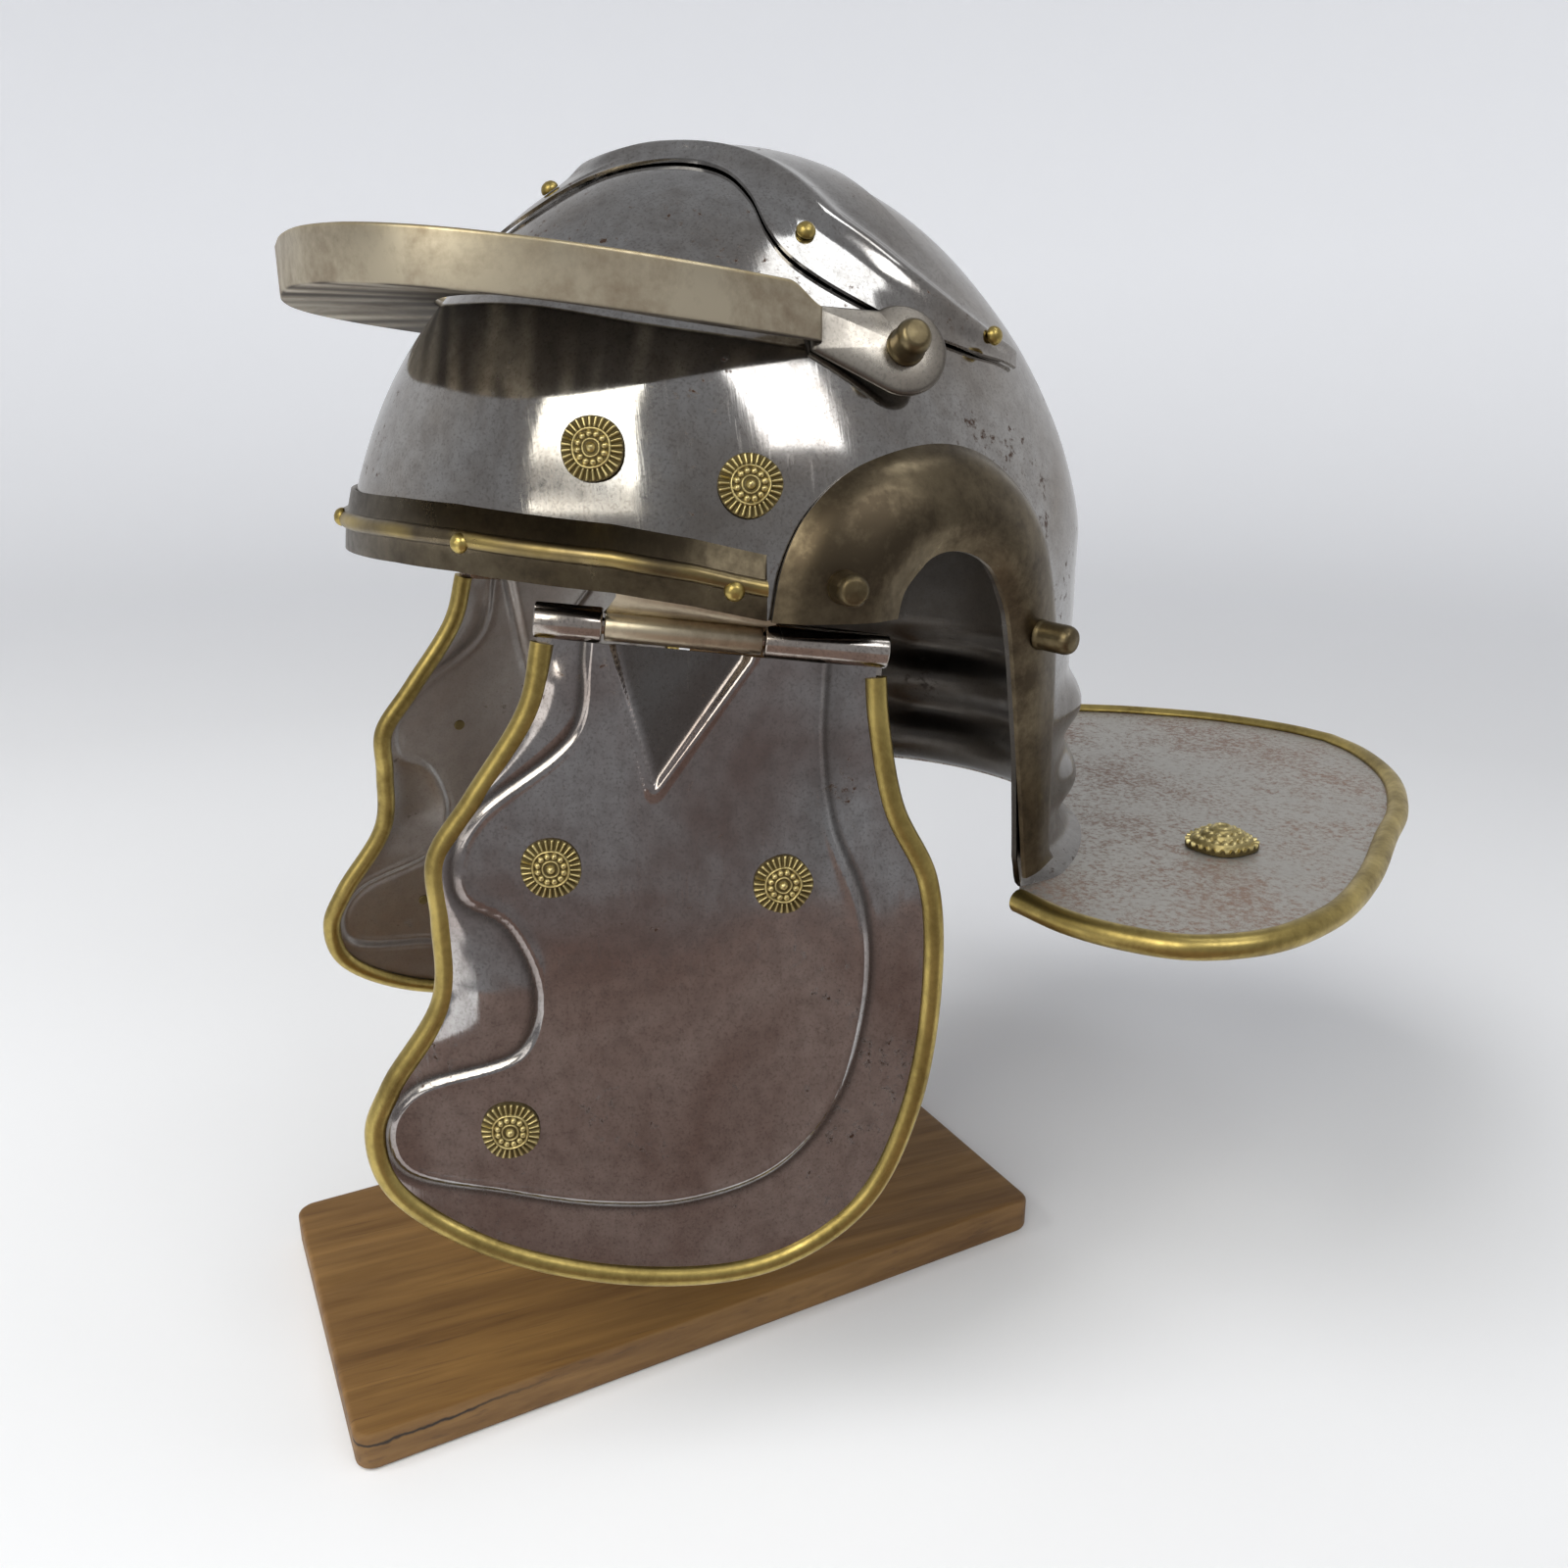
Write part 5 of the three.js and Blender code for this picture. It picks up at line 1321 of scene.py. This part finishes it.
# Places on the flat guard: name, back, drop. On the bowl: name, bearing, height.
CHEEK_ROSETTES = (("upper_front", 8.2, 61.9), ("upper_rear", 67.7, 62.2), ("lower", 2.2, 133.9))
BOWL_ROSETTES = (("front", 55.6, 275.9), ("rear", 76.3, 267.5))
NECK_ROSETTE = np.array([77.0, 164.5])
ROSETTE_RADIUS = 7.7
ROSETTE_GRID = (44, 140)
NECK_ROSETTE_RADIUS = 11.0
NECK_ROSETTE_GRID = (52, 168)
NECK_RUBBED = 0.45
TAIL = rounded([(0, 0), (1.9, 0), (1.9, 0.7), (0, 0.9)], 0.4)
TAIL_SINK = 0.2


for k, (name, back, drop) in enumerate(CHEEK_ROSETTES):
    lift = CHEEK["plate"] / 2 + cheek_relief(np.array([back]), np.array([drop]))[0]
    seat = in_hinge_frame(np.array([back, -drop, lift]))
    grids, shade = casting(small_rosette, ROSETTE_RADIUS, seat, hinge_out, *ROSETTE_GRID, 20 + k)
    tail = turned(TAIL, seat - hinge_out * (CHEEK["plate"] - TAIL_SINK), -hinge_out, 24)
    # The tails inside the guard take the dark hollow colour: dirt and painted shade.
    shade.append(np.full(tail[0].shape[:2], 0.2))
    place_pair(
        f"cheek_flower_{name}", grids + tail, shade, cast_brass,
        CHEEK_PAIR, f"cheek_rosette_{name}", right_cheek)
for k, (name, bearing, z) in enumerate(BOWL_ROSETTES):
    seat = on_bowl(bearing, z, GAP)
    outward = bowl_outward(bearing, z)
    grids, shade = casting(small_rosette, ROSETTE_RADIUS, seat, outward, *ROSETTE_GRID, 30 + k)
    place_pair(
        f"bowl_flower_{name}", grids, shade, cast_brass,
        HELMET_PAIR, f"bowl_rosette_{name}")
neck_seat = np.array([*NECK_ROSETTE, neck_level(NECK_ROSETTE[1]) + GAP])
grids, shade = casting(
    neck_rosette, NECK_ROSETTE_RADIUS, neck_seat, neck_up, *NECK_ROSETTE_GRID, 40, NECK_RUBBED)
place_pair("neck_flower", grids, shade, cast_brass, HELMET_PAIR, "neck_rosette")
print("twelve rosettes cast")

# %% [markdown]
# ## Rivets and posts
# The rivets are round-headed brass pins turned on a lathe; the ear guards and the lugs have
# tall ones with a tapered tip.

# %% Rivets
RIVET = rounded([(0, 0), (2.6, 0), (2.45, 1.2), (1.5, 2.3), (0, 2.6)], 0.9)
POST = rounded([(0, 0), (4.3, 0), (4.2, 0.8), (4.0, 1.6), (4.0, 9.0), (3.1, 10.8), (0, 11.2)], 0.9)
LUG_RIVET = rounded([(0, 0), (5.0, 0), (4.9, 0.8), (4.5, 1.6), (4.5, 6.4), (3.4, 8.2), (0, 8.6)], 0.9)
BAND_RIVETS = (("side", 37.7, 253.4), ("rear", 74.0, 243.6))
BAND_FRONT_RIVET = (0.0, 255.6)
CREST_RIVETS = (("mid", 7.4, 0.42), ("tail", 10.95, 0.88))
CREST_FRONT_RIVET = (0.0, 0.57)
EAR_POSTS = (("front", 0.85, 0.45), ("rear", 8.3, 0.64))


def face_direction(point, u, v):
    """Direction square to a surface, from two small steps on it, pointing away from the bowl's middle."""
    step = 0.05
    here = point(u, v)
    square = unit(np.cross(point(u + step, v) - here, point(u, v + step) - here))
    middle = np.array([0, BOWL["centre_y"], BOWL["wall_top"]])
    return square * np.sign(square @ (here - middle))


def rivet_on(point, u, v, profile):
    """A turned head standing on a surface point."""
    return turned(profile, point(u, v), face_direction(point, u, v), 32)


def crest_seat(u, v):
    """The top of the crest plate."""
    return crest_point(np.array(u), np.array(v), CREST["thickness"] + 0.1)


def ear_seat(u, v):
    """The outer face of the ear guard."""
    return ear_point(np.array(u), np.array(v), EAR["thickness"] - 0.2)


band_lift = GAP + BAND["thickness"] + 0.4 * BAND["bead_proud"]
for name, bearing, z in BAND_RIVETS:
    grids = turned(RIVET, on_bowl(bearing, z, band_lift), bowl_outward(bearing, z), 32)
    place_pair(f"band_pin_{name}", grids, None, gold_brass, HELMET_PAIR, f"band_rivet_{name}")
front_out = bowl_outward(*BAND_FRONT_RIVET)
grids = turned(RIVET, on_bowl(*BAND_FRONT_RIVET, band_lift), front_out, 32)
make_piece("band_pin_front", grids, gold_brass, HELMET, ["band_rivet_front"])
for name, station, across in CREST_RIVETS:
    grids = rivet_on(crest_seat, station, across, RIVET)
    place_pair(f"crest_pin_{name}", grids, None, gold_brass, HELMET_PAIR, f"crest_rivet_{name}")
front_grids = rivet_on(crest_seat, CREST_FRONT_RIVET[0] + 0.01, CREST_FRONT_RIVET[1], RIVET)
make_piece("crest_pin_front", front_grids, gold_brass, HELMET, ["crest_rivet_front"])
for name, station, across in EAR_POSTS:
    grids = rivet_on(ear_seat, station, across, POST)
    place_pair(f"ear_pin_{name}", grids, None, post_brass, HELMET_PAIR, f"ear_post_{name}")
lug_top = lug_seat + lug_out * BROW["lug_thickness"]
grids = turned(LUG_RIVET, lug_top, lug_out, 40)
place_pair("brow_pin", grids, None, post_brass, HELMET_PAIR, "brow_rivet")
print("rivets and posts turned")

# %% [markdown]
# ## Stand
# The board is a plank with eased edges, turned a little under the helmet. The hidden post that
# carries the bowl stays as the CAD made it, with the grain running up it, and so do the hinge pins.

# %% Stand board
half_x, half_y, corner = STAND["width"] / 2, STAND["length"] / 2, STAND["corner"]
quarter = np.linspace(0, np.pi / 2, 9)
centres = ((1, 1), (-1, 1), (-1, -1), (1, -1))
board_outline = np.concatenate([
    np.array([sx * (half_x - corner), sy * (half_y - corner)])
    + corner * np.stack([np.cos(quarter + k * np.pi / 2), np.sin(quarter + k * np.pi / 2)], -1)
    for k, (sx, sy) in enumerate(centres)
])
board_flat = pillow(board_outline, 0.0, STAND["thickness"], STAND["edge"])
turn = np.radians(STAND["turn_deg"])
turn_matrix = np.array([(np.cos(turn), np.sin(turn), 0), (-np.sin(turn), np.cos(turn), 0), (0, 0, 1)])
make_piece("stand_board", [board_flat @ turn_matrix], wood, HELMET, ["stand_base"])
KEPT_NODES = {"stand_post": post_wood, "hinge_pin_left": knuckle_steel, "hinge_pin_right": knuckle_steel}
for name, material in KEPT_NODES.items():
    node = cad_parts[name]
    node.data.materials.clear()
    node.data.materials.append(material)
print("stand board made")

# %% [markdown]
# ## Studio
# A pale floor runs back and turns up far away; out there the paper glows a little, more the further
# off it is, and it is hidden from reflections. Polished steel shows whatever stands around it,
# so the surroundings are planned too: bright behind the helmet, dim on the camera's side, and
# four lamps whose reflections lie on the brow, above the ear, on the crest and along the front
# edges. A fifth lamp lights the floor and the wood and is hidden from reflections.


# %% Floor
def floor_ring(start, end, flat, rise):
    """A flat ring of floor that turns up smoothly beyond the flat radius, as a sweep does."""
    r = np.linspace(start, end, 50)[:, None]
    angle = np.linspace(0, 2 * np.pi, 97)[None, :]
    height = rise * smoothstep(r, flat, end) ** 2
    x, y = r * np.cos(angle), r * np.sin(angle)
    return np.stack([x, y, np.broadcast_to(height, x.shape)], -1)


def stage_mesh(name, grid, material):
    """A mesh that belongs to the studio and not to the helmet."""
    mesh = bpy.data.meshes.new(name)
    cells = grid_cells(*grid.shape[:2], 0)
    mesh.from_pydata(grid.reshape(-1, 3).tolist(), [], cells.tolist())
    mesh.shade_smooth()
    mesh.materials.append(material)
    piece = bpy.data.objects.new(name, mesh)
    bpy.context.scene.collection.objects.link(piece)
    return piece


FLOOR_RADIUS = 0.9
FLOOR_DROP = Vector((0.0, 0.0, -0.0003))
paper = Paint("white paper", metallic=0.0, roughness=0.8)
paper.use(Base_Color=(0.86, 0.865, 0.88))
# The far paper glows: emission rising from 0 at the floor's edge to 0.3 three metres out.
glowing_far_paper = Paint("glowing far paper", metallic=0.0, roughness=0.8)
glow_share = glowing_far_paper.range(glowing_far_paper.far_off(), FLOOR_RADIUS, 3.0, 0.0, 0.30)
glowing_far_paper.use(Base_Color=(0.86, 0.865, 0.88), Emission_Color=(0.93, 0.95, 1.0), Emission_Strength=glow_share)
floor = stage_mesh("studio_floor", floor_ring(0.0, FLOOR_RADIUS, 2.0, 0.0), paper.material)
sweep = stage_mesh("studio_sweep", floor_ring(FLOOR_RADIUS, 4.5, 1.6, 3.0), glowing_far_paper.material)
sweep.visible_glossy = False
for piece in (floor, sweep):
    piece.location = FLOOR_DROP
print("floor laid")

# %% [markdown]
# A dark cloth on the camera's side is seen only in reflections. It keeps the cheek guard deep
# in tone, as it is in the photograph.


# %% Dark cloth
CLOTH_HEIGHT = 0.0004


def cloth_sheet(inner, outer, bearings):
    """A flat fan just above the floor between two radii and two bearings."""
    r = np.linspace(inner, outer, 12)[:, None]
    angle = np.radians(np.linspace(*bearings, 40))[None, :]
    x, y = r * np.sin(angle), -r * np.cos(angle)
    return np.stack([x, y, np.full(x.shape, CLOTH_HEIGHT)], -1)


cloth_paint = Paint("dark cloth", metallic=0.0, roughness=1.0)
cloth_paint.use(Base_Color=(0.22, 0.16, 0.14))
cloth = stage_mesh("studio_cloth", cloth_sheet(0.15, FLOOR_RADIUS, (48, 130)), cloth_paint.material)
cloth.visible_camera = False
cloth.visible_diffuse = False
cloth.visible_shadow = False
print("dark cloth laid for reflections")


# %% World
TOWARD_CAMERA = (0.93, -0.37, 0.0)
MATT_SHARE = 0.5


def studio_world(near, far, above):
    """Background by direction: near on the camera's side, far opposite, above overhead.

    It is weaker on rays that leave matt surfaces.
    """
    world = bpy.data.worlds.new("studio")
    bpy.context.scene.world = world
    world.use_nodes = True
    sky = Nodes(world.node_tree)
    direction = sky.add("ShaderNodeTexCoord").outputs["Generated"]
    toward = sky.vector_maths("DOT_PRODUCT", direction, TOWARD_CAMERA)
    colour = sky.mix(sky.range(toward, 0.55, -0.45, smooth=True), near, far)
    upward = sky.add("ShaderNodeSeparateXYZ", Vector=direction).outputs["Z"]
    colour = sky.mix(sky.range(upward, 0.35, 0.85, smooth=True), colour, above)
    from_matt = sky.add("ShaderNodeLightPath").outputs["Is Diffuse Ray"]
    backdrop = world.node_tree.nodes["Background"]
    sky.put(backdrop.inputs["Color"], colour)
    sky.put(backdrop.inputs["Strength"], sky.range(from_matt, 0.0, 1.0, 1.0, MATT_SHARE))


studio_world(near=(0.31, 0.31, 0.32), far=(0.60, 0.605, 0.62), above=(0.31, 0.31, 0.32))
print("surroundings set")


# %% Light and camera
def soft_lamp(name, bearing, rise, distance, spread, brightness, colour):
    """A rectangular lamp seen from the skull at a bearing and a rise; spread is its size in degrees."""
    b, e = np.radians(bearing), np.radians(rise)
    direction = Vector((np.sin(b) * np.cos(e), -np.cos(b) * np.cos(e), np.sin(e)))
    width, height = (2 * distance * np.tan(np.radians(a) / 2) for a in spread)
    light = bpy.data.lights.new(name, "AREA")
    light.shape = "RECTANGLE"
    light.size, light.size_y = width, height
    light.energy = brightness * np.pi * width * height
    light.color = colour
    lamp = bpy.data.objects.new(name, light)
    lamp.location = SKULL + direction * distance
    lamp.rotation_euler = (-direction).to_track_quat("-Z", "Y").to_euler()
    bpy.context.scene.collection.objects.link(lamp)
    return lamp


SKULL = Vector((0.03, 0.01, 0.28))
soft_lamp("front_lamp", 40.0, 34.0, 1.6, (33.0, 28.0), 4.2, (1.0, 0.985, 0.89))
soft_lamp("side_lamp", 108.0, 40.0, 1.6, (24.0, 20.0), 4.0, (0.97, 0.985, 1.0))
soft_lamp("back_lamp", 157.0, 63.0, 1.8, (14.0, 24.0), 2.6, (0.95, 0.98, 1.0))
soft_lamp("low_lamp", 33.0, 5.0, 1.6, (28.0, 14.0), 1.3, (1.0, 0.98, 0.93))
floor_lamp = soft_lamp("floor_lamp", 5.0, 52.0, 1.9, (34.0, 34.0), 5.6, (1.0, 1.0, 1.0))
floor_lamp.visible_glossy = False
bpy.context.scene.view_settings.view_transform = "Standard"

CAMERA_PLACE = Vector((0.37028, -0.10387, 0.287))
CAMERA_FORWARD = Vector((-0.8859, 0.3579, -0.2949))
camera_data = bpy.data.cameras.new("camera")
camera_data.sensor_width = 36.0
camera_data.lens = 28.575
camera = bpy.data.objects.new("camera", camera_data)
camera.location = CAMERA_PLACE
camera.rotation_euler = CAMERA_FORWARD.to_track_quat("-Z", "Y").to_euler()
camera_data.clip_start = 0.01
bpy.context.scene.collection.objects.link(camera)
bpy.context.scene.camera = camera
print("five lamps and the camera set")

# %% Finish
print("scene built")
